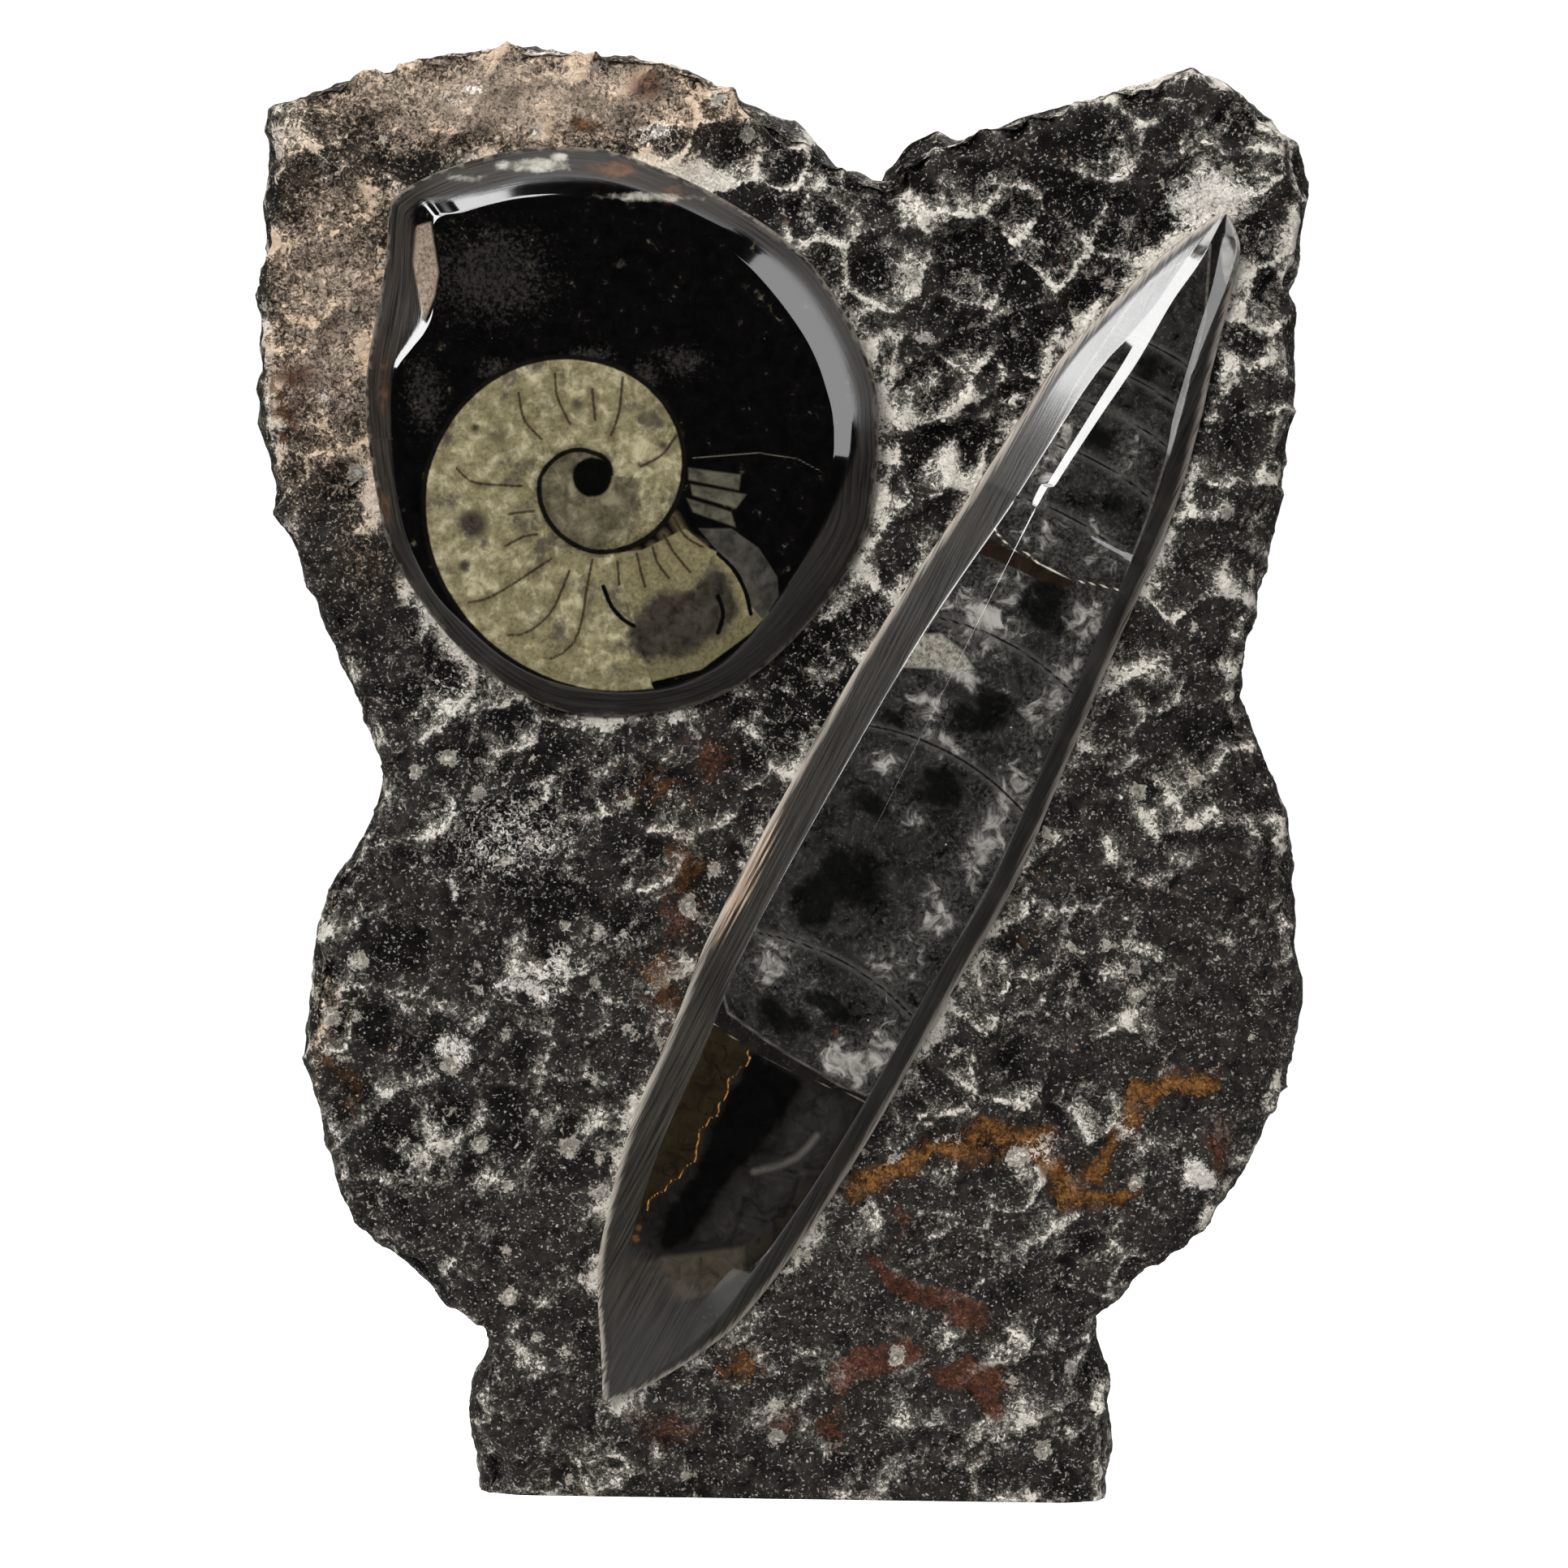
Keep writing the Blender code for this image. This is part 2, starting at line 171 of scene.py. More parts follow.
@dataclass(frozen=True)
class StoneFinish:
    """A stone: its ground colours, the layers over them, and how it is worked.

    Attributes:
        name: the material's name.
        slot: the record's slot that it stands for. It is not used.
        ground: the two sRGB colours of the stone itself.
        layers: what shows in it, from the lowest up.
        grains: its noises.
        cells: the widths of its cells, each kind with its own name, in millimetres.
        lifts: how high each source lifts it where it isn't polished, in millimetres.
        satin: its roughness where it isn't polished.
        pitting: the share of its mirroring that pits swallow there.
        polish: its roughness where it is polished, or None where it is rough all over.
    """

    name: str
    slot: Slot
    ground: tuple[str, str]
    layers: tuple[Layer, ...]
    grains: dict[str, Grain]
    cells: dict[str, float]
    lifts: dict[str, float]
    satin: float
    pitting: float = 0.6
    polish: float | None = 0.055

    def sources(self, tree: bpy.types.NodeTree) -> dict[str, Socket]:
        """Makes the noises, in millimetres of the stone itself.

        Args:
            tree: the material's tree.

        Returns:
            The sources by name, from -0.5 to 0.5. Each kind of cell also has a "spot", a
            round mark in the few cells with the highest numbers, which is above 0 inside it.
        """
        add = partial(add_node, tree)
        place = add("TexCoord", output="Object")
        place = add("VectorMath", {0: place, "Scale": 1 / MM}, operation="SCALE")
        along = add("Attribute", output="Fac", attribute_name="along")
        across = add("Attribute", output="Fac", attribute_name="across")
        along = add("Math", {0: along, 1: 0.05}, operation="MULTIPLY")
        across = add("Math", {0: across, 1: 1.7}, operation="MULTIPLY")
        brushed = add("CombineXYZ", {0: along, 1: across})
        found = {}
        for name, grain in self.grains.items():
            noise = add("TexNoise", {
                "Vector": place, "Scale": 1 / grain.size, "Detail": grain.detail,
                "Roughness": grain.rough, "Distortion": grain.swirl,
            })
            found[name] = add("Math", {0: noise, 1: 0.5}, operation="SUBTRACT")
        streaks = add("TexNoise", {
            "Vector": brushed, "Scale": 1.0, "Detail": 5.0, "Roughness": 0.6,
        })
        found["streaks"] = add("Math", {0: streaks, 1: 0.5}, operation="SUBTRACT")
        warp = add("TexNoise", {"Vector": place, "Scale": 1 / 2.5, "Detail": 3.0}, output="Color")
        warped = add(
            "VectorMath", {0: warp, 1: (2.6, 2.6, 2.6), 2: place}, operation="MULTIPLY_ADD"
        )
        for name, size in self.cells.items():
            cell = add("TexVoronoi", {"Vector": warped, "Scale": 1 / size}, output="Color")
            number = add("SeparateColor", {0: cell})
            found[name] = add("Math", {0: number, 1: 0.5}, operation="SUBTRACT")
            reach = add("Math", {0: number, 1: 1.6, 2: -1.15}, operation="MULTIPLY_ADD")
            found[name + "_spot"] = add(
                "Math", {0: reach, 1: cell.node.outputs["Distance"]}, operation="SUBTRACT"
            )
        return found

    def lay(self, tree: bpy.types.NodeTree, found: dict[str, Socket]) -> Socket:
        """Lays the layers over the ground.

        Args:
            tree: the material's tree.
            found: the noises by name.

        Returns:
            The finished colour.
        """
        add = partial(add_node, tree)
        colour = self.mottle(tree, self.ground, found["medium"])
        for layer in self.layers:
            source = found.get(layer.source)
            if source is None:
                source = add("Attribute", output="Fac", attribute_name=layer.source)
            if layer.ragged:
                source = add(
                    "Math", {0: found[layer.noise], 1: layer.ragged, 2: source},
                    operation="MULTIPLY_ADD",
                )
            mask = add("MapRange", {
                "Value": source, "From Min": layer.low, "From Max": layer.high,
                "To Max": layer.share,
            }, interpolation_type="SMOOTHSTEP")
            tone = self.mottle(tree, layer.tones, found[layer.noise])
            colour = add(
                "Mix", {0: mask, 6: colour, 7: tone}, output=2, data_type="RGBA",
                blend_type=layer.blend.value,
            )
        return colour

    def mottle(self, tree: bpy.types.NodeTree, tones: tuple[str, str], noise: Socket) -> Socket:
        """Runs between two colours with a noise.

        Args:
            tree: the material's tree.
            tones: the sRGB colours.
            noise: a noise from -0.5 to 0.5.

        Returns:
            The colour.
        """
        share = add_node(tree, "MapRange", {"Value": noise, "From Min": -0.16, "From Max": 0.16})
        return add_node(
            tree, "Mix", {0: share, 6: linear(tones[0]), 7: linear(tones[1])}, output=2,
            data_type="RGBA",
        )

    def material(self) -> bpy.types.Material:
        """Builds the material.

        Returns:
            The material, under the finish's name.
        """
        material = bpy.data.materials.new(self.name)
        material.use_nodes = True
        tree = material.node_tree
        add = partial(add_node, tree)
        shader = tree.nodes["Principled BSDF"]
        shader.inputs["IOR"].default_value = 1.5
        found = self.sources(tree)
        tree.links.new(self.lay(tree, found), shader.inputs["Base Color"])
        lift = 0.0
        for source, amount in self.lifts.items():
            lift = add("Math", {0: found[source], 1: amount, 2: lift}, operation="MULTIPLY_ADD")
        if self.polish is None:
            shader.inputs["Roughness"].default_value = self.satin
            shader.inputs["Specular IOR Level"].default_value = 0.5 - 0.5 * self.pitting
        else:
            unpolished = add("Attribute", output="Fac", attribute_name="satin")
            uneven = add(
                "Math", {0: found["streaks"], 1: 0.5, 2: self.satin - self.polish},
                operation="MULTIPLY_ADD",
            )
            rough = add(
                "Math", {0: unpolished, 1: uneven, 2: self.polish}, operation="MULTIPLY_ADD"
            )
            tree.links.new(rough, shader.inputs["Roughness"])
            mirrored = add(
                "Math", {0: unpolished, 1: -0.5 * self.pitting, 2: 0.5}, operation="MULTIPLY_ADD"
            )
            tree.links.new(mirrored, shader.inputs["Specular IOR Level"])
            lift = add("Math", {0: lift, 1: unpolished}, operation="MULTIPLY")
        normal = add("Bump", {"Strength": 1.0, "Distance": MM, "Height": lift})
        tree.links.new(normal, shader.inputs["Normal"])
        return material


# Limestone full of soot-fine carbon: nearly black. Blows crush its crystals whitish, and iron has
# stained it tan and orange along its cracks. The whitened crests are partly painted highlight,
# brightest on the flanks that face the key light, and the hollows are darkened with painted shade.
HAMMERED_LIMESTONE = StoneFinish(
    name="hammered_black_limestone",
    slot=Slot.ROUGH,
    ground=("0d0c0b", "2b2825"),
    layers=(
        Layer("chips", 0.0, 0.5, ("1b1917", "3d3a36"), 0.5, 1.0, "fine"),
        # Painted shade: the stone is darkened where it lies deep in the hammered hollows.
        Layer("hollow_shade", 0.5, 2.4, ("030303", "0c0b0a"), 0.9, 1.6),
        Layer("crystals", 0.36, 0.52, ("55514b", "b5b0a7"), 0.75, 0.7, "fine"),
        # Whitened crests: partly crushed calcite, partly painted highlight on the flanks that face
        # the key light.
        Layer("bruise_and_highlight", 0.36, 0.66, ("3b3834", "736e66"), 0.8, 1.7, "fine"),
        Layer("bruise_and_highlight", 0.62, 0.90, ("8d877e", "d2ccc2"), 0.9, 2.0, "fine"),
        Layer("tan", 0.15, 0.9, ("ffdcba", "ffead4"), 0.9, 0.6, "broad", Blend.TINT),
        Layer("tan", 0.5, 1.25, ("3f372f", "c4b19e"), 0.75, 2.2, "fine"),
        Layer("orange", 0.25, 0.65, ("170f09", "482e17"), 0.75, 2.2),
        Layer("orange", 0.58, 1.05, ("1c1108", "8a5f31"), 0.8, 2.8, "fine"),
        Layer("red_brown", 0.42, 1.05, ("0c0604", "5e3828"), 0.8, 2.8, "fine"),
        Layer("white", 0.40, 0.80, ("8a847c", "dcd6ce"), 0.95, 1.8, "fine"),
        Layer("fossils_spot", 0.0, 0.10, ("5f5a53", "b0a99e"), 0.85, 0.75, "fine"),
        Layer("fossils_spot", 0.12, 0.20, ("38342f", "6a645c"), 0.6, 0.5),
        Layer("fossils_spot", 0.22, 0.28, ("8a847b", "d3cdc2"), 0.8, 0.5, "fine"),
    ),
    grains={
        "broad": Grain(11.0, 4.0), "medium": Grain(3.0, 6.0, 0.66, 0.5),
        "fine": Grain(1.2, 6.0, 0.72, 1.2),
    },
    cells={"crystals": 0.45, "chips": 1.5, "fossils": 7.0},
    lifts={"medium": 1.1, "fine": 0.7, "chips": 0.3, "crystals": 0.1},
    satin=0.605,
    pitting=0.94,
    polish=None,
)

# The same limestone ground and polished with tin oxide: a black mirror, with the goniatite's
# greenish calcite in it. Its outer bevel is only ground, so it is dark grey satin.
POLISHED_LIMESTONE = StoneFinish(
    name="polished_goniatite_limestone",
    slot=Slot.BLACK,
    ground=("010101", "050404"),
    layers=(
        Layer("shell_hash", 0.36, 1.0, ("0b0a09", "35322f"), 0.45, 2.4, "fine"),
        Layer("specks_spot", 0.34, 0.38, ("4a4742", "a9a49b"), 0.8),
        Layer("shell", 0.25, -0.25, ("47422f", "676047"), 1.0, 0.7, "fine"),
        Layer("pale", 0.25, 0.95, ("655f46", "958e74"), 0.75, 2.0),
        Layer("dull", 0.42, 0.04, ("2b2622", "484340"), 0.75, 2.8, "broad"),
        Layer("inner_whorl", -0.4, 1.0, ("1a1814", "4c483a"), 0.75, 1.6),
        Layer("dusk", 1.5, -2.0, ("0c0b09", "2f2b26"), 0.95, 4.0),
        Layer("halo", 3.2, 0.0, ("14130e", "2f2c20"), 0.6, 2.0, "fine"),
        Layer("septa", 2.2, 0.0, ("3c3526", "524934"), 0.6, 1.0),
        Layer("septa", 0.46, 0.16, ("15120c", "262116"), 0.85, 0.45, "fine"),
        Layer("dark_spots", 0.3, 0.85, ("100e0c", "2b2722"), 0.9, 0.9, "fine"),
        Layer("crescent", 0.25, -0.25, ("1f1e1b", "3a3833"), 0.95, 0.5),
        Layer("blocks", 0.25, -0.45, ("26251f", "4a483c"), 0.95, 0.5),
        Layer("slits", 0.7, 0.3, ("020202", "040404"), 1.0, 0.3),
        Layer("coil_line", 0.85, 0.35, ("050403", "0d0b08"), 1.0, 0.3),
        Layer("coil_depth", 5.0, 4.2, ("010101", "040403"), 1.0, 0.4),
        Layer("chip", 0.4, -0.4, ("4a3d32", "84786c"), 0.95, 1.2, "fine"),
        Layer("white_lines", 0.26, 0.05, ("2d2a26", "69645b"), 0.6, 0.4, "fine"),
        Layer("satin", 0.3, 1.0, ("080706", "2b2723"), 0.95, 0.0, "streaks"),
        Layer("band_rust", 0.3, 0.9, ("24150d", "5c3d28"), 0.7, 1.0),
        Layer("band_calcite", 0.3, 0.8, ("55534c", "8f8c82"), 0.85, 1.0),
        Layer("arris", 0.9, -0.5, ("3f3a35", "a79d90"), 0.8, 6.5),
        Layer("wall", 0.4, 0.7, ("2d2a27", "827b72"), 1.0, 0.3, "fine"),
    ),
    grains={
        "broad": Grain(9.0, 5.0, 0.66), "medium": Grain(3.2, 5.0, 0.62, 0.3),
        "fine": Grain(0.9, 5.0, 0.66, 0.4),
    },
    cells={"specks": 3.0},
    lifts={"streaks": 0.12},
    satin=0.395,
)

# Clear calcite that grew inside the orthoceras, over black: smoky, with clouds where it is full
# of fine cracks. It is polished as the limestone round it, and the long bevels are only ground.
POLISHED_CALCITE = StoneFinish(
    name="polished_orthoceras_calcite",
    slot=Slot.CALCITE,
    ground=("070605", "151311"),
    layers=(
        Layer("shell", 0.4, -0.6, ("030303", "242321"), 1.0, 0.8),
        Layer("haze", 0.10, 0.7, ("131211", "3c3a37"), 0.8, 2.6, "fine"),
        Layer("haze", 0.52, 1.1, ("4a4844", "8b8882"), 0.85, 2.6),
        Layer("smoke", 0.55, 0.95, ("010101", "050505"), 0.9, 2.4, "broad"),
        Layer("specks_spot", 0.34, 0.38, ("4a4742", "a9a49b"), 0.8),
        Layer("septa", 1.8, 0.2, ("383633", "5d5a55"), 0.35, 5.0),
        Layer("septa", 0.42, 0.15, ("010101", "040404"), 0.9, 0.3, "fine"),
        Layer("shell_edge", 0.5, 0.15, ("2e2c28", "5c5852"), 0.7, 0.5, "fine"),
        Layer("crack_fill", 0.3, -0.2, ("0d0906", "1d140d"), 0.95, 0.3),
        Layer("crack", 0.36, 0.1, ("8b8378", "c2b9ac"), 0.9, 0.4, "fine"),
        Layer("flake", 0.4, -0.4, ("3a3833", "8d877c"), 0.8, 1.8, "fine"),
        Layer("chamber", 0.2, -0.4, ("0a0908", "161412"), 1.0, 0.5),
        Layer("olive", 0.25, -0.25, ("0f0b06", "1d170e"), 1.0, 0.4),
        Layer("side_olive", 0.5, -1.2, ("0f0b06", "1d170e"), 0.9, 1.6),
        Layer("rings", 0.4, 0.12, ("080705", "0c0a07"), 0.8, 0.2, "fine"),
        Layer("black", 0.8, -1.6, ("010101", "040404"), 1.0, 2.6),
        Layer("grey", 1.2, -4.0, ("0c0b0a", "242220"), 0.95, 5.0),
        Layer("streak", 1.4, -0.4, ("2a2825", "65625c"), 0.7, 2.6),
        Layer("patch", 0.5, -1.2, ("1f1b15", "38322a"), 0.95, 1.2),
        Layer("chamber_edge", 0.26, 0.08, ("3c3832", "7d776e"), 0.75, 0.4, "fine"),
        Layer("vein", 0.28, 0.1, ("5d3d1a", "a3743a"), 0.85, 0.2, "fine"),
        Layer("rust", 0.5, 0.95, ("33200f", "5f3f20"), 0.7, 1.8),
        Layer("satin", 0.4, 0.9, ("080706", "27241f"), 0.95, 0.0, "streaks"),
        Layer("worn", 0.55, 1.0, ("38291d", "a8927c"), 0.85, 1.6, "streaks"),
        Layer("arris", 1.8, 0.3, ("3f3a35", "b4aba0"), 0.85, 6.0, "streaks"),
        Layer("tip", 0.3, -0.4, ("2f2e2b", "6a6863"), 0.85, 0.8),
        Layer("wall", 0.4, 0.7, ("2d2a27", "827b72"), 1.0, 0.3, "fine"),
    ),
    grains={
        "broad": Grain(15.0, 5.0, 0.6, 0.6), "medium": Grain(4.4, 6.0, 0.66, 0.9),
        "fine": Grain(1.0, 5.0, 0.66, 0.6),
    },
    cells={"specks": 3.0},
    lifts={"streaks": 0.12},
    satin=0.395,
)


# ---- meshes ----


def make_piece(
    name: str, points: Array, quads: Array, tris: Array, finish: StoneFinish
) -> bpy.types.Object:
    """Puts worked-out points and faces into a smooth-shaded object.

    Args:
        name: the piece's name.
        points: an (n, 3) array of places, in millimetres.
        quads: an (m, 4) array of the points at each face's corners, anticlockwise from outside.
        tris: the same for three-cornered faces.
        finish: the finish that it wears.

    Returns:
        The object, standing for the CAD slab and riding on its body.
    """
    corners = np.concatenate([quads.ravel(), tris.ravel()]).astype(np.int32)
    starts = np.concatenate([
        np.arange(0, quads.size, 4), quads.size + np.arange(0, tris.size, 3)
    ]).astype(np.int32)
    mesh = bpy.data.meshes.new(name)
    mesh.vertices.add(len(points))
    mesh.vertices.foreach_set("co", (points * MM).astype(np.float32).ravel())
    mesh.loops.add(len(corners))
    mesh.loops.foreach_set("vertex_index", corners)
    mesh.polygons.add(len(starts))
    mesh.polygons.foreach_set("loop_start", starts)
    mesh.update(calc_edges=True)
    mesh.shade_smooth()
    mesh.materials.append(finish.material())
    piece = bpy.data.objects.new(name, mesh)
    bpy.context.scene.collection.objects.link(piece)
    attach(piece, "root")
    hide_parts("stone_slab")
    return piece


def add_fields(piece: bpy.types.Object, fields: dict[str, Array]) -> None:
    """Stores one number per point under each name, for the materials to read.

    Args:
        piece: the object.
        fields: arrays with one number for each of its mesh's points.
    """
    for name, values in fields.items():
        layer = piece.data.attributes.new(name, "FLOAT", "POINT")
        layer.data.foreach_set("value", values.astype(np.float32))


def closed_tube(rings: Array, start: Array, end: Array) -> tuple[Array, Array, Array]:
    """Joins a row of closed rings into one skin, and draws it to a point at both ends.

    Args:
        rings: an (n, m, 3) array. Each ring runs clockwise as seen from the end it heads for.
        start: the point that closes the first ring.
        end: the point that closes the last ring.

    Returns:
        The points, with the two end points last, the quads and the end triangles.
    """
    count, around = rings.shape[:2]
    points = np.vstack([rings.reshape(-1, 3), start, end])
    ring = np.arange(count - 1)[:, None] * around
    here = np.arange(around)[None]
    follow = (here + 1) % around
    quads = np.stack(
        [ring + here, ring + around + here, ring + around + follow, ring + follow], -1
    ).reshape(-1, 4)
    here, follow = here[0], follow[0]
    last = (count - 1) * around
    tips = np.full(around, count * around)
    tris = np.vstack([
        np.column_stack([tips, here, follow]),
        np.column_stack([last + here, tips + 1, last + follow]),
    ])
    return points, quads, tris


# ---- curves and distances ----


def smooth_curve(corners: Corners, count: int) -> Array:
    """Spreads points evenly along a Catmull-Rom curve, a cubic through every corner.

    Args:
        corners: the places that the curve goes through.
        count: how many points to give.

    Returns:
        A (count, 2) array.
    """
    knots = np.array(corners, float)
    padded = np.vstack([2 * knots[0] - knots[1], knots, 2 * knots[-1] - knots[-2]])
    t = np.linspace(0, 1, 9)[None, :-1, None]
    p0, p1, p2, p3 = (padded[k:k + len(knots) - 1, None] for k in range(4))
    spans = 0.5 * (
        2 * p1 + (p2 - p0) * t + (2 * p0 - 5 * p1 + 4 * p2 - p3) * t**2
        + (3 * p1 - p0 - 3 * p2 + p3) * t**3
    )
    path = np.vstack([spans.reshape(-1, 2), knots[-1:]])
    run = np.concatenate([[0], np.cumsum(np.linalg.norm(np.diff(path, axis=0), axis=1))])
    even = np.linspace(0, run[-1], count)
    return np.column_stack([np.interp(even, run, path[:, k]) for k in range(2)])


def read_smooth(table: Corners, at: Array) -> Array:
    """Reads a value off the smooth curve through a table of places and values."""
    curve = smooth_curve(table, 40 * len(table))
    return np.interp(at, curve[:, 0], curve[:, 1])


def path_distance(spots: Array, corners: Array | Corners) -> Array:
    """Distance from each spot to a path of straight stretches: the least over its stretches.

    Args:
        spots: an (n, 2) array.
        corners: the path's corners.

    Returns:
        An array of n distances.
    """
    path = np.asarray(corners, float)
    nearest = np.full(len(spots), np.inf)
    for start, end in zip(path[:-1], path[1:]):
        way = end - start
        share = np.clip((spots - start) @ way / max(way @ way, 1e-9), 0, 1)
        gap = spots - start - share[:, None] * way
        nearest = np.minimum(nearest, np.hypot(gap[:, 0], gap[:, 1]))
    return nearest


def area_distance(spots: Array, corners: Array | Corners) -> Array:
    """Signed distance to a closed outline: negative inside, by the even-odd rule.

    Args:
        spots: an (n, 2) array.
        corners: the outline's corners, in order.

    Returns:
        An array of n distances.
    """
    loop = np.asarray(corners, float)
    loop = np.vstack([loop, loop[:1]])
    inside = np.zeros(len(spots), bool)
    for (x0, z0), (x1, z1) in zip(loop[:-1], loop[1:]):
        spans = (z0 > spots[:, 1]) != (z1 > spots[:, 1])
        crossing = x0 + (spots[:, 1] - z0) * (x1 - x0) / (z1 - z0 if z1 != z0 else 1e-9)
        inside ^= spans & (spots[:, 0] < crossing)
    distance = path_distance(spots, loop)
    return np.where(inside, -distance, distance)


def smoothstep(low: float, high: float, values: Array) -> Array:
    """Runs from 0 at low to 1 at high, level at both ends: 3t² - 2t³."""
    t = np.clip((values - low) / (high - low), 0, 1)
    return t * t * (3 - 2 * t)


def blot(spots: Array, middle: tuple[float, float], reach: Reach) -> Array:
    """A soft round patch: the bell curve exp(-r²), with r in units of its reach each way."""
    return np.exp(-(((spots - middle) / reach) ** 2).sum(axis=1))


def blots(spots: Array, places: Places) -> Array:
    """The strongest of several blots, each given by its middle, its reach and its strength."""
    return np.maximum.reduce([g * blot(spots, c, r) for c, r, g in places])


def nearest(distance: Callable, spots: Array, shapes: Iterable[Array | Corners]) -> Array:
    """The least distance to any of several shapes, as path_distance or area_distance has it."""
    return np.minimum.reduce([distance(spots, shape) for shape in shapes])


# ---- broken stone ----


def lattice_value(cell: Array, seed: int) -> Array:
    """A repeatable random number for each whole-number cell, from mixed-up products.

    Args:
        cell: an (n, 3) array of whole numbers.
        seed: which set of random numbers.

    Returns:
        An array of n numbers from 0 to 1.
    """
    x, y, z = cell.T
    mixed = (x * 374761393 + y * 668265263 + z * 1103515245 + seed * 974711) & 0xFFFFFFFF
    mixed = ((mixed ^ (mixed >> 13)) * 1274126177) & 0xFFFFFFFF
    return ((mixed ^ (mixed >> 16)) & 0xFFFFFF) / 0xFFFFFF


def swell(points: Array, size: float, seed: int) -> Array:
    """Smooth noise: random values at the corners of cubes, blended between them.

    Args:
        points: an (n, 3) array.
        size: the cubes' side.
        seed: which noise.

    Returns:
        An array of n numbers from -1 to 1.
    """
    scaled = points / size
    low = np.floor(scaled).astype(np.int64)
    share = scaled - low
    share = share * share * (3 - 2 * share)
    total = np.zeros(len(points))
    for corner in np.ndindex(2, 2, 2):
        weight = np.prod(np.where(np.array(corner), share, 1 - share), axis=1)
        total += weight * lattice_value(low + np.array(corner), seed)
    return 2 * total - 1


# A turn that sets the bites' rows askew to the slab: 33 degrees round y, then 27 round z.
ASKEW = np.array(Matrix.Rotation(0.58, 3, "Y") @ Matrix.Rotation(0.47, 3, "Z"))


@dataclass(frozen=True)
class BiteLayer:
    """Dished bites left by a point chisel, with sharp crests between them.

    Each bite is a bowl about a random middle, and the surface is the lowest of the bowls.
    """

    size: float
    depth: float
    seed: int
    lean: float = 0.5

    def cut(self, points: Array) -> tuple[Array, Array]:
        """Works the bites out at each point.

        Args:
            points: an (n, 3) array.

        Returns:
            The height, from 0 at a bowl's bottom, and the whitening towards its crest, from 0 to
            1: bruising and painted highlight. It is strongest on the side of the bowl below and
            right of its middle, which faces the key light up on the left.
        """
        scaled = points @ ASKEW / self.size
        low = np.floor(scaled).astype(np.int64)
        first = np.full(len(points), 9.0)
        second = np.full(len(points), 9.0)
        lit_flank = np.zeros(len(points))
        for step in np.ndindex(3, 3, 3):
            cell = low + np.array(step) - 1
            random = np.column_stack([lattice_value(cell, self.seed + k) for k in range(3)])
            away = scaled - cell - random
            tilt = self.lean * ((random[:, [1, 2, 0]] - 0.5) * away).sum(axis=1)
            bowl = (away**2).sum(axis=1) + tilt + 0.3 * random[:, 0]
            # Painted highlight: how far the point lies towards the side of its bowl that faces the
            # key light.
            lit_flank = np.where(bowl < first, away @ (ASKEW.T @ (0.5, 0.0, -1.0)), lit_flank)
            second = np.minimum(second, np.maximum(bowl, first))
            first = np.minimum(first, bowl)
        crest = np.exp(-(second - first) / 0.3) * np.clip(0.5 + 0.9 * lit_flank, 0.1, 1)
        return self.depth * np.clip(first, -0.3, 1.2), crest


# ---- the two polished bosses ----


@dataclass(frozen=True)
class BossSection:
    """Facets of a boss on one line across it, as flat strips with slightly worn edges.

    Attributes:
        counts: how many steps cross each strip.
        wear: half the width of the worn edge between two strips.
    """

    counts: tuple[int, ...]
    wear: float = 0.16

    def spread(self, breaks: Array, heights: Array) -> tuple[Array, Array, Array]:
        """Steps across every strip of every line: straight from edge to edge, less the wear.

        Args:
            breaks: an (n, k + 1) array of the strips' edges along n lines.
            heights: the heights at those edges.

        Returns:
            The steps' places, their heights, and the strip that each step is on.
        """
        places, rises, strips = [], [], []
        for k, count in enumerate(self.counts):
            width = np.abs(breaks[:, k + 1] - breaks[:, k])
            margin = np.minimum(self.wear / np.maximum(width, 1e-6), 0.25)[:, None]
            share = margin + (1 - 2 * margin) * np.linspace(0, 1, count)[None]
            places.append(breaks[:, k, None] * (1 - share) + breaks[:, k + 1, None] * share)
            rises.append(heights[:, k, None] * (1 - share) + heights[:, k + 1, None] * share)
            strips.append(np.full(count, float(k)))
        return np.hstack(places), np.hstack(rises), np.concatenate(strips)


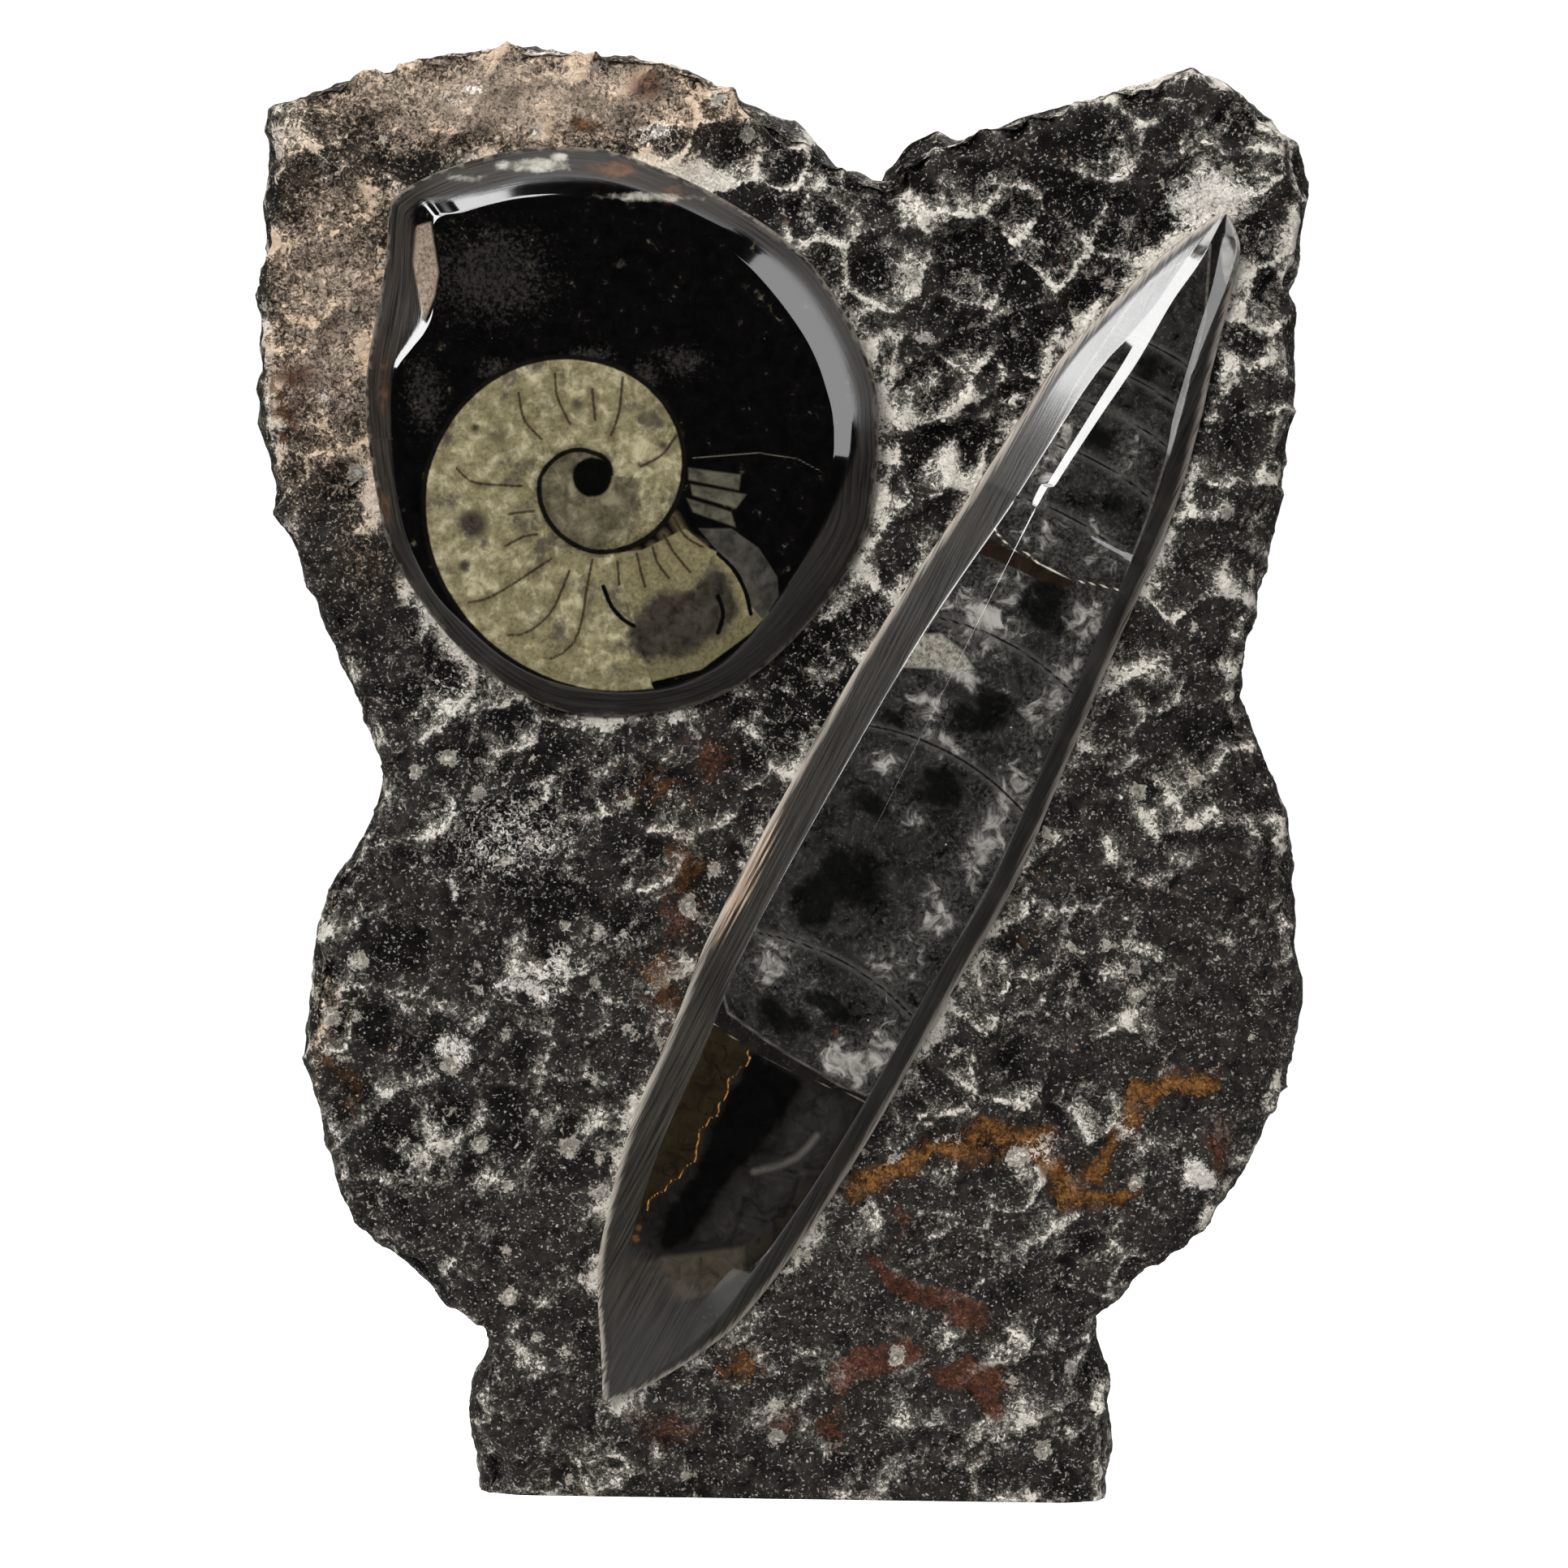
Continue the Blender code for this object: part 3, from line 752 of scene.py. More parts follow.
@dataclass
class GoniatiteLozenge:
    """The bevelled lozenge with the goniatite cut flush in its face.

    Its outlines are read round its middle, by compass angle: the foot, the ridge between the
    bevels, and the face. From the outside in, its strips are a rough wall, a ground satin band,
    a polished facet, and the flat face.
    """

    finish: StoneFinish = POLISHED_LIMESTONE
    front_y: float = FRONT_Y
    middle: tuple[float, float] = (-37.3, 250.4)
    outline: Corners = (
        (21.9, 246), (19.2, 228), (9.2, 211.5), (-5.3, 196.5), (-20, 188.3),
        (-39.3, 185.4), (-57, 188.5), (-75.8, 201.4), (-90.5, 221.5), (-95.2, 238),
        (-97.6, 258), (-96.5, 271), (-93.1, 289), (-91.8, 303), (-89.9, 307),
        (-79.1, 312.8), (-63, 317.2), (-48.4, 318), (-35, 315.4), (-13.8, 305.6),
        (6.4, 290.4), (20.3, 266),
    )
    ridge: Corners = (
        (15.8, 252.3), (15.6, 247), (13.7, 239.5), (9.9, 231), (5.1, 223), (-1.3, 212.9),
        (-8.2, 203.8), (-15.7, 196.9), (-26.4, 192.1), (-40.2, 191.2), (-54.1, 193.7),
        (-64.8, 199), (-74.4, 207.3), (-80.8, 213.9), (-85.6, 222.5), (-88.2, 229.9),
        (-89.9, 238.5), (-90.7, 245.9), (-91, 252.4), (-91, 260.9), (-90.3, 267.8),
        (-87, 273.2), (-84.6, 278), (-84.6, 283.3), (-85.9, 289.7), (-85.6, 296.1),
        (-85.3, 304.6), (-76.5, 306.4), (-68, 308.1), (-59.4, 310.3), (-49.8, 310.8),
        (-40.2, 309.7), (-31.7, 307.3), (-25.3, 304.6), (-17.8, 300.9), (-10.4, 296.6),
        (-3.9, 291.3), (2.5, 284.9), (7.8, 277.4), (11.5, 270.5), (13.7, 264), (15.3, 257.7),
    )
    face: Corners = (
        (11.5, 252.3), (11.3, 245.9), (9.4, 238.5), (5.1, 228.9), (-0.7, 218.2), (-7.2, 210.2),
        (-14.6, 205), (-25.3, 200), (-36, 197.4), (-48.8, 196.3), (-57.3, 198.1),
        (-68, 203.3), (-78.8, 213.9), (-84.5, 222.5), (-87.2, 229.9), (-88.8, 238.5),
        (-89.6, 245.9), (-90.1, 254.5), (-90, 260.9), (-89.2, 266.8), (-86.2, 271),
        (-83.2, 274.8), (-81.2, 279), (-80.3, 284.4), (-80.3, 289.7), (-80.8, 300.2),
        (-74.4, 302.3), (-68, 304.1), (-59.4, 305.7), (-49.8, 306), (-40.2, 305.2),
        (-30.6, 303), (-21, 298.8), (-13.6, 294), (-7.2, 288.6), (-0.7, 281.2),
        (4.6, 273.7), (7.8, 267.3), (9.9, 260.9), (11, 256.6),
    )
    # How steep the polished facet is, by compass angle.
    facet_slopes: Corners = (
        (-180, 0.36), (-120, 0.34), (-90, 0.31), (-45, 0.42), (-10, 0.56), (20, 0.57), (60, 0.55),
        (90, 0.50), (125, 0.50), (142, 0.50), (160, 0.38), (180, 0.36),
    )
    rise: float = 9.0
    root: float = 9.0
    steps_around: int = 700
    section: BossSection = BossSection((3, 9, 9, 118))
    coil_middle: tuple[float, float] = (-44.4, 241.3)
    # The coil's line, as its radius at each quarter turn from deep inside it to its last turn.
    coil_turns: Corners = (
        (-450, 3.4), (-360, 4.3), (-270, 5.6), (-180, 12), (-90, 17.2), (0, 21), (90, 27),
        (180, 38.6), (270, 49.8), (360, 60),
    )

    def reach(self, outline: Corners, angle: Array) -> Array:
        """An outline's distance from the middle.

        Args:
            outline: the outline's corners.
            angle: the angles to read it at, in radians.

        Returns:
            A distance for each angle.
        """
        loop = smooth_curve(outline + outline[:1], 720) - self.middle
        turn = np.arctan2(loop[:, 1], loop[:, 0])
        order = np.argsort(turn)
        return np.interp(angle, turn[order], np.hypot(*loop[order].T), period=2 * math.pi)

    def outside(self, spots: Array) -> Array:
        """How far each spot is outside the foot outline, measured away from the middle."""
        away = spots - self.middle
        return np.hypot(*away.T) - self.reach(self.outline, np.arctan2(away[:, 1], away[:, 0]))

    def build(self) -> bpy.types.Object:
        """Makes the lozenge: its section turned clockwise about its middle, and its fields.

        Returns:
            The dressed piece.
        """
        angle = np.linspace(math.pi, -math.pi, self.steps_around, endpoint=False)
        reach, ridge, face = (
            self.reach(line, angle) for line in (self.outline, self.ridge, self.face)
        )
        breaks = np.column_stack([reach + WALL_SPREAD, reach, ridge, face, 0 * reach])
        heights = np.tile([-self.root, 0.0, 0.0, self.rise, self.rise], (len(angle), 1))
        turn = np.degrees(angle)
        slope = read_smooth(self.facet_slopes, turn)
        heights[:, 2] = self.rise - slope * (ridge - face)
        one_plane = smoothstep(-15.0, 8.0, turn) * smoothstep(85.0, 50.0, turn)
        heights[:, 1] = one_plane * (self.rise - slope * (reach - face))
        radius, rise, strip = self.section.spread(breaks, heights)
        radius, rise, strip = radius[:, :-1], rise[:, :-1], strip[:-1]
        x = self.middle[0] + radius * np.cos(angle)[:, None]
        z = self.middle[1] + radius * np.sin(angle)[:, None]
        wave = 0.03 * swell(np.stack([x, 0 * x, z], -1).reshape(-1, 3), 16.0, 61)
        y = self.front_y - rise - wave.reshape(x.shape) * (strip >= 1)
        rings = np.stack([x, y, z], -1).transpose(1, 0, 2)
        middle = [self.middle[0], self.front_y - self.rise, self.middle[1]]
        behind = [self.middle[0], self.front_y + self.root, self.middle[1]]
        points, quads, tris = closed_tube(rings, behind, middle)
        piece = make_piece("goniatite_lozenge", points, quads, tris, self.finish)
        around = np.tile(np.cumsum(reach) * 2 * math.pi / len(angle), len(strip))
        inward = (reach[None] - radius.T).ravel()
        inside_ridge = (ridge[None] - radius.T) / (ridge - face)[None]
        strip = np.repeat(strip, len(angle))
        add_fields(piece, self.fields(points) | {
            "along": np.append(around, [0.0, 0.0]),
            "across": np.append(inward, [0.0, 50.0]),
            "arris": np.append(np.abs(inward), [FAR, FAR]),
            "satin": np.append(
                smoothstep(0.45, -0.35, inside_ridge + 0.5 * one_plane), [0.0, 0.0]
            ),
            "wall": np.append(strip == 0, [1.0, 0.0]),
        })
        return piece

    def fields(self, points: Array) -> dict[str, Array]:
        """Works out what the polished stone's material reads.

        Args:
            points: the lozenge's points.

        Returns:
            Fields of distances, in millimetres, and of shares from 0 to 1.
        """
        spots = points[:, [0, 2]]
        away = spots - self.coil_middle
        radius = np.hypot(*away.T)
        angle = np.degrees(np.arctan2(away[:, 1], away[:, 0])) % 360
        turns = np.array(self.coil_turns, float).T
        outer = np.exp(np.interp(angle, turns[0], np.log(turns[1])))
        inner = np.exp(np.interp(angle - 360, turns[0], np.log(turns[1])))
        last = angle < 286
        chambers = np.where(last, radius - outer, radius - inner)
        line = np.minimum(np.where(last, np.abs(radius - outer), FAR), np.abs(radius - inner))
        septa = [smooth_curve(line, 9) for line in SEPTA]
        slits = [smooth_curve(line, 8) for line in BLACK_SLITS]
        return {
            "shell": np.minimum(chambers, area_distance(spots, LAST_CHAMBER)),
            "coil_line": line,
            "halo": np.where(radius < 19.0, line, FAR),
            "pale": np.where(chambers < 0, 0.5, 0.0),
            "dull": np.where(chambers < 0, 0.5, FAR),
            "coil_depth": radius,
            "inner_whorl": inner - radius - FAR * smoothstep(265.0, 345.0, angle),
            "septa": nearest(path_distance, spots, septa),
            "blocks": nearest(area_distance, spots, SHELL_BLOCKS),
            "crescent": area_distance(spots, CRESCENT),
            "slits": nearest(path_distance, spots, slits),
            "dusk": area_distance(spots, DUSKY_AREA),
            "dark_spots": blots(spots, DARK_SPOTS),
            "shell_hash": blots(spots, SHELL_HASH),
            "white_lines": nearest(path_distance, spots, WHITE_LINES),
            "chip": area_distance(spots, CALCITE_CHIP),
            "band_calcite": blots(spots, BAND_CALCITE),
            "band_rust": blots(spots, BAND_RUST),
        }


# Lines across the goniatite's chambers, as (x, z) in millimetres.
SEPTA: tuple[Corners, ...] = (
    ((-75.8, 243.3), (-73.1, 240.6), (-70, 239.7), (-60.6, 239.2)),
    ((-63.7, 232.7), (-61.5, 233.1), (-57.9, 233.4)),
    ((-64.6, 225.3), (-60.6, 227.4), (-57.4, 228)),
    ((-73.1, 212.3), (-68.7, 213.2), (-62.4, 216.8), (-57, 220.4), (-53.9, 222.4)),
    ((-64.2, 204.7), (-59.7, 205.2), (-54.3, 209.6), (-51.6, 215), (-49.8, 219.5)),
    ((-54.3, 199.1), (-49.8, 201.6), (-47.1, 207), (-45.8, 215), (-44.4, 222.2)),
    ((-38.6, 221.7), (-38.2, 216.4)),
    ((-34.1, 223.5), (-33.2, 219.5), (-32.2, 215.9)),
    ((-30.5, 225.1), (-29.2, 221.3), (-26.7, 217.9)),
    ((-27.9, 228), (-25.6, 224), (-21.8, 219.3)),
    ((-25.6, 232.1), (-22.9, 227.6), (-18.9, 225.1)),
    ((-61.5, 260.8), (-60.1, 254.5), (-56.1, 250)),
    ((-53, 265.2), (-52.5, 259.9), (-49.6, 253.6)),
    ((-24.9, 250.9), (-28.3, 246.4), (-33.2, 243.7)),
    ((-44.4, 261.6), (-43.7, 254.5)),
    ((-37.3, 264.3), (-38.2, 256.3), (-40, 250.9)),
)
# Black slits that the shell's walls leave in its last chamber.
BLACK_SLITS: tuple[Corners, ...] = (
    ((-41.9, 215.9), (-40, 211.4), (-37.3, 208.3), (-34.8, 206.8)),
    ((-15.3, 223.5), (-11.7, 220), (-9, 215), (-7.7, 209.5)),
    ((-15.3, 213.7), (-14.1, 209.6), (-15.3, 205.2)),
)
LAST_CHAMBER: Corners = (
    (-46.2, 223.1), (-32.8, 224.4), (-22.9, 229.4), (-17.3, 224.8), (-12.2, 222.4), (-5.9, 218),
    (-4.9, 212.6), (-3.4, 209.8), (-7.7, 205.2), (-19.3, 196.6), (-37.3, 192.2), (-51.6, 191.3),
    (-57, 195.3),
)
DUSKY_AREA: Corners = (
    (-34.1, 211.4), (-29.2, 215), (-21.1, 215.9), (-16.6, 222.2), (-12.6, 218.6),
    (-9.5, 209.6), (-14, 204.3), (-22.9, 199.3), (-31.9, 198.4), (-38.2, 202.5),
)
CRESCENT: Corners = (
    (-19.8, 229.4), (-12.2, 229.4), (-5.9, 224.9), (-1.6, 218.2), (-1.2, 213.7), (-4.8, 208.3),
    (-7.7, 211.4), (-10.4, 218.6), (-14.9, 223.5),
)
SHELL_BLOCKS: tuple[Corners, ...] = (
    ((-22.2, 243.5), (-9.9, 241.9), (-10.4, 238.2), (-22.2, 240.6)),
    ((-21.8, 239.7), (-8.6, 237.3), (-11.1, 233.9), (-21.3, 237)),
    ((-22.7, 236.5), (-12.2, 233.3), (-11.1, 229.6), (-21.1, 233.1)),
)
# Dark blots in the pale calcite: where, how wide, and how dark.
DARK_SPOTS: Places = (
    ((-72.1, 230.4), 4.2, 1), ((-74, 220.7), 2, 0.9), ((-66.4, 250.9), 4.6, 0.6),
    ((-71.5, 252.7), 1.3, 0.9), ((-47.8, 258.1), 2.4, 0.7), ((-29.2, 256.3), 2.8, 0.65),
    ((-28, 248.6), 1.4, 0.8), ((-50.4, 203.8), 2, 0.6), ((-58, 207), 2.6, 0.45),
    ((-33.5, 244.2), 1, 0.7), ((-31, 251.5), 1, 0.5),
)
SHELL_HASH: Places = (
    ((-66.9, 266.1), (4.5, 3), 1), ((-45.3, 269.5), (6, 2.6), 1),
    ((-31.9, 265.2), (4, 3.4), 1), ((-83, 259.9), (5, 9), 1),
    ((-68, 288), (16, 12), 1), ((-37.7, 290.5), (1.9, 1.2), 1),
    ((-24, 268), (6, 4), 1),
)
WHITE_LINES: tuple[Corners, ...] = (
    ((-21.1, 245.7), (-5.9, 246.9), (3.1, 245.5), (8.6, 242.6)),
    ((-72.6, 294.6), (-74.6, 299), (-73.6, 301)),
)
# Pale calcite and rust in the ground band: where, how far they reach, and how strong.
BAND_CALCITE: Places = (
    ((-58, 313.6), (9.5, 1.9), 1), ((-31, 306), (13, 1.4), 0.8),
    ((-52.4, 315.6), (2.4, 1.2), 1), ((-74, 310.4), (7, 1.6), 0.6),
)
BAND_RUST: Places = (
    ((-40, 312.6), (7, 2.2), 1), ((-26, 306.6), (5, 2.6), 0.8),
    ((-93, 262), (2.2, 9), 0.7), ((-92.6, 236), (2, 8), 0.6),
)
CALCITE_CHIP: Corners = (
    (-85.2, 299.3), (-81.7, 300.2), (-79.9, 288.5), (-80.8, 283.2), (-83.4, 276.9),
    (-84.8, 283.2), (-86.1, 291.2),
)


@dataclass
class OrthocerasSpindle:
    """The long spindle with the orthoceras cut flush in its facets.

    It lies on a line from its top tip to its bottom tip. Places on it are given along that line
    from the top tip, and across it, with left as plus. Its strips run from a rough wall and a
    ground bevel on the left, over the facets, to a bevel and a wall on the right.
    """

    finish: StoneFinish = POLISHED_CALCITE
    front_y: float = FRONT_Y
    top: tuple[float, float] = (102.7, 302.4)
    bottom: tuple[float, float] = (-41.8, 24.4)
    left: Corners = (
        (0, 1.2), (15, 8.4), (34, 14.8), (50, 18.8), (81, 21.9), (120, 26.5),
        (172, 28.8), (205, 29), (227, 26.8), (254, 24.7), (280, 18.5), (292, 13.3),
        (303, 6.8), (313.3, 1),
    )
    right: Corners = (
        (0, 1.2), (5, 6.6), (14, 9.5), (34, 14.2), (46, 17.4), (69, 21.8),
        (106, 24.6), (137, 27.2), (165, 29), (190, 27.6), (227, 26.4), (255, 24),
        (280, 19.8), (293, 14.7), (305, 7.6), (313.3, 1),
    )
    left_bevel: Corners = (
        (0, 0.6), (20, 6.2), (34, 8.2), (70, 8.6), (100, 8.8), (240, 8.4), (280, 6.4),
        (300, 3.6), (313.3, 0.5),
    )
    left_tilt: Corners = (
        (0, 19), (30, 21), (46, 25), (62, 31), (80, 36), (100, 41),
        (313.3, 41),
    )
    right_bevel: Corners = (
        (0, 0.6), (14, 1.6), (34, 4.2), (60, 5.2), (240, 5.6), (280, 5), (300, 3),
        (313.3, 0.5),
    )
    # The sharp ridge, the outer edge of the narrow facet beside it, and two weak edges right of it.
    ridge: Corners = (
        (0, 0), (12, 0), (24, 1.6), (40, 2.4), (56, 4.3), (74, 6.1), (97, 7.6),
        (313.3, 4),
    )
    strip_width: Corners = (
        (0, 0.3), (18, 2), (40, 2.6), (60, 2), (80, 1.5), (97, 0.15), (313.3, 0.15),
    )
    weak_edge: Corners = (
        (0, -0.3), (12, -0.8), (30, -1.8), (46, -3.5), (65, -6), (150, -7),
        (313.3, -2),
    )
    outer_edge: Corners = (
        (0, -0.5), (13, -3.9), (29, -7), (46, -10.3), (66, -14.6), (120, -16),
        (250, -14), (313.3, -0.4),
    )
    strip_tilt: float = 23.5
    root: float = 9.0
    lines: int = 560
    section: BossSection = BossSection((3, 14, 22, 5, 16, 18, 16, 10, 3))

    @property
    def length(self) -> float:
        """The distance between the tips."""
        return math.dist(self.top, self.bottom)

    def axes(self) -> tuple[Array, Array]:
        """Unit directions along the spindle and to its left."""
        forward = (np.array(self.bottom) - self.top) / self.length
        return forward, np.array([forward[1], -forward[0]])

    def place(self, spots: Array) -> tuple[Array, Array]:
        """Turns (x, z) spots to distances along and across the spindle."""
        forward, leftward = self.axes()
        return (spots - self.top) @ forward, (spots - self.top) @ leftward

    def outside(self, spots: Array) -> Array:
        """About how far each spot is outside the foot outline: across it, or past a tip.

        Args:
            spots: an (n, 2) array of (x, z).

        Returns:
            An array of n distances, below zero inside.
        """
        along, across = self.place(spots)
        inside = np.clip(along, 0, self.length)
        left, right = (read_smooth(edge, inside) for edge in (self.left, self.right))
        wide = np.where(across > 0, left, right)
        return np.hypot(np.maximum(np.abs(across) - wide, 0), along - inside) - np.maximum(
            wide - np.abs(across), 0
        )

    def build(self) -> bpy.types.Object:
        """Makes the spindle: its changing section carried along its line, and its fields.

        Returns:
            The dressed piece.
        """
        share = np.linspace(0, 1, self.lines)
        along = self.length * (share + 0.35 * np.sin(4 * math.pi * share) / (-4 * math.pi))
        left, right = read_smooth(self.left, along), read_smooth(self.right, along)
        ridge = read_smooth(self.ridge, along)
        ridge = np.minimum(ridge, 0.4 * left)
        beside = ridge + np.minimum(read_smooth(self.strip_width, along), 0.2 * left)
        left_break = np.maximum(left - read_smooth(self.left_bevel, along), beside + 0.05)
        right_break = -(right - np.minimum(read_smooth(self.right_bevel, along), 0.4 * right))
        outer = np.maximum(read_smooth(self.outer_edge, along), right_break + 0.05)
        weak = np.maximum(read_smooth(self.weak_edge, along), outer + 0.05)
        strip_drop = math.tan(math.radians(self.strip_tilt)) * (beside - ridge)
        left_rise = (left - left_break) * np.tan(np.radians(read_smooth(self.left_tilt, along)))
        fade = 1 - 0.6 * smoothstep(60.0, 110.0, along)
        lean = 0.44 - 0.22 * smoothstep(26.0, 44.0, along)
        crown = left_rise + lean * fade * (left_break - beside) + strip_drop
        weak_rise = crown - 0.02 * (ridge - weak)
        outer_rise = weak_rise - 0.15 * fade * (weak - outer)
        right_rise = outer_rise - 0.30 * fade * (outer - right_break)
        breaks = np.column_stack([
            left + WALL_SPREAD, left, left_break, beside, ridge, weak, outer, right_break,
            -right, -right - WALL_SPREAD,
        ])
        flat = np.zeros_like(along)
        heights = np.column_stack([
            flat - self.root, flat, left_rise, crown - strip_drop, crown, weak_rise, outer_rise,
            np.maximum(right_rise, 0.3 * crown), flat, flat - self.root,
        ])
        across, rise, strip = self.section.spread(breaks, heights)
        along = np.repeat(along[:, None], across.shape[1], axis=1)
        wave = swell(np.stack([along, across, 0 * along], -1).reshape(-1, 3), 14.0, 62)
        rise = rise + 0.05 * wave.reshape(rise.shape) * ((strip > 0) & (strip < 8))
        forward, leftward = self.axes()
        spot = self.top + along[..., None] * forward + across[..., None] * leftward
        rings = np.stack([spot[..., 0], self.front_y - rise, spot[..., 1]], -1)
        deep = self.front_y + self.root
        start = np.array(self.top) - WALL_SPREAD * forward
        end = np.array(self.bottom) + WALL_SPREAD * forward
        points, quads, tris = closed_tube(
            rings, [start[0], deep, start[1]], [end[0], deep, end[1]]
        )
        piece = make_piece("orthoceras_spindle", points, quads, tris, self.finish)
        arris = np.minimum(left[:, None] - across, right[:, None] + across).ravel()
        along = np.append(along.ravel(), [0.0, self.length])
        across = np.append(across.ravel(), [0.0, 0.0])
        strip = np.append(np.tile(strip, self.lines), [0.0, 0.0])
        add_fields(piece, self.fields(np.column_stack([along, across])) | {
            "arris": np.append(arris, [FAR, FAR]),
            "satin": np.maximum.reduce([
                strip == 7,
                (strip == 1) * (0.3 + 0.7 * smoothstep(48.0, 72.0, along)),
                (strip == 1) * smoothstep(3.0, 2.0, read_smooth(self.left, along) - across),
                0.85 * smoothstep(270.0, 286.0, along + 0.4 * across),
            ]),
            "wall": (strip == 0) | (strip == 8),
        })
        return piece

    def fields(self, places: Array) -> dict[str, Array]:
        """Works out what the polished fossil's material reads.

        Args:
            places: an (n, 2) array of distances along and across.

        Returns:
            Fields of distances, in millimetres, and of shares from 0 to 1.
        """
        along, across = places.T
        bowed = along - 4.2 * (across / 22.0) ** 2
        septa = np.min([np.abs(bowed - at) for at in WALLS], axis=0)
        shell = area_distance(places, SHELL_AREA)
        chamber = area_distance(places, smooth_curve(CHAMBER_AREA + CHAMBER_AREA[:1], 70))
        inside = smoothstep(0.5, -0.5, shell)
        rings = [np.abs(np.hypot(*(places - c).T) - r) for c, r in RINGS]
        return {
            "along": along,
            "across": across,
            "septa": np.where(shell < 0, septa, FAR),
            "shell": shell,
            "shell_edge": np.abs(shell),
            "chamber": chamber,
            "chamber_edge": np.abs(chamber) + 0.5 * smoothstep(262.0, 284.0, along),
            "grey": area_distance(places, GREY_AREA),
            "flake": area_distance(places, FLAKE),
            "rings": np.minimum.reduce(rings),
            "olive": area_distance(places, OLIVE_AREA),
            "side_olive": area_distance(places, SIDE_OLIVE_AREA),
            "black": area_distance(places, BLACK_AREA),
            "patch": area_distance(places, BROWN_PATCH),
            "vein": path_distance(places, RUSTY_VEIN),
            "rust": blots(places, RUST_BLOTS),
            "crack": path_distance(places, CRACK),
            "crack_fill": area_distance(places, CRACK_FILL),
            "haze": inside * (0.12 + blots(places, HAZE)),
            "smoke": inside * (0.12 + blots(places, SMOKE)),
            "worn": blot(places, (190.0, 29.0), (26.0, 5.0)),
            "streak": path_distance(places, PALE_STREAK),
            "tip": area_distance(places, TIP_BRUISE),
        }


# The walls across the orthoceras, as distances along it in millimetres.
WALLS = (35.0, 44.0, 53.0, 65.0, 79.3, 111.8, 140.6, 195.2)
# Outlines on the spindle, as (along, across) in millimetres.
SHELL_AREA: Corners = (
    (8, 0), (24, 9.5), (50, 12.5), (75, 13), (100, 15.8), (140, 19.2),
    (180, 20.6), (206, 21.6), (214, 20.8), (218.2, 17), (220, 4), (221.2, -14),
    (220.4, -20.5), (217, -23.4), (190, -22.6), (160, -23.4), (130, -21.6),
    (100, -19.8), (70, -16.2), (46, -12), (24, -7),
)
CHAMBER_AREA: Corners = (
    (222, 19), (223.2, 8.6), (223.2, -5.8), (222, -20.5), (225.3, -23), (240, -21.2),
    (262, -17.6), (280, -11), (290, -4), (293, 2), (288, 8.5), (270, 15),
    (250, 18), (232, 19.8),
)
OLIVE_AREA: Corners = (
    (222.5, 20.5), (223.2, 8.4), (227.2, 7.6), (230.2, 8.8), (236.7, 8.5), (243.7, 9.3),
    (252.5, 7.7), (257.7, 9.3), (262.1, 10.9), (266.9, 13.2), (272, 12), (268, 17),
    (250, 19.5), (232, 21),
)
SIDE_OLIVE_AREA: Corners = (
    (238, -19.4), (250, -15.6), (262, -13.2), (275, -9.6), (276, -12.4), (262, -17.2),
    (248, -20.6), (238, -22),
)
BLACK_AREA: Corners = (
    (223.2, 8.2), (223.6, -6.8), (238, -5.6), (255.2, -1.2), (268, 0), (275.4, 3.6),
    (273.8, 7.1), (264.8, 8.6), (255, 6.6), (244, 8.8), (232, 8),
)
BROWN_PATCH: Corners = (
    (280.6, 8.6), (276, 4.6), (272.3, -0.8), (264.5, -11.8), (270, -14.4), (277.4, -11.2),
    (284.7, -4.3), (287, 3.2), (284, 8),
)
RUSTY_VEIN: Corners = (
    (222.9, 8.4), (224.4, 8.9), (225.2, 7.4), (227.2, 7.6), (228.4, 8.9), (230.2, 8.8),
    (232, 9.9), (234.4, 8.6), (236.7, 8.5), (238, 9.2), (240.6, 7.9), (241.8, 9.4),
    (243.7, 9.3), (245.6, 10.4), (247.5, 9.5), (249.6, 9), (252.5, 7.7), (254.6, 9.2),
    (257.7, 9.3), (259.4, 10.8), (262.1, 10.9), (263.4, 12.2), (265.9, 13.2), (268, 12.4),
)
RUST_BLOTS: Places = (
    ((272.6, 12.4), (1.5, 1.1), 1), ((275.4, 11.6), (1.5, 1.3), 1),
    ((280.4, 9.2), (1.4, 1.6), 1), ((210.7, -7.2), (1.4, 1.4), 1),
)
CRACK: Corners = (
    (88.6, 15.4), (90.4, 13), (91.5, 10), (91.9, 7.4), (91.3, 4.8), (92.2, 1), (92, -3),
    (91.6, -8.6), (90.2, -13), (88.8, -18.9), (89.8, -21.4),
)
CRACK_FILL: Corners = (
    (92, 15), (92.5, 10), (92.2, 4), (92.6, -2), (92.2, -9), (94.4, -6), (95.4, 0),
    (95.6, 7), (96.4, 15),
)
PALE_STREAK: Corners = (
    (248.4, -5.4), (244.6, -9.8), (241, -12.8), (237.4, -14), (234.1, -14.6),
)
TIP_BRUISE: Corners = (
    (5, -1.8), (8, -2.6), (12.4, -5.6), (14.4, -7.4), (13.6, -9.4), (10, -9.8), (6.6, -8),
    (4.4, -4.6),
)
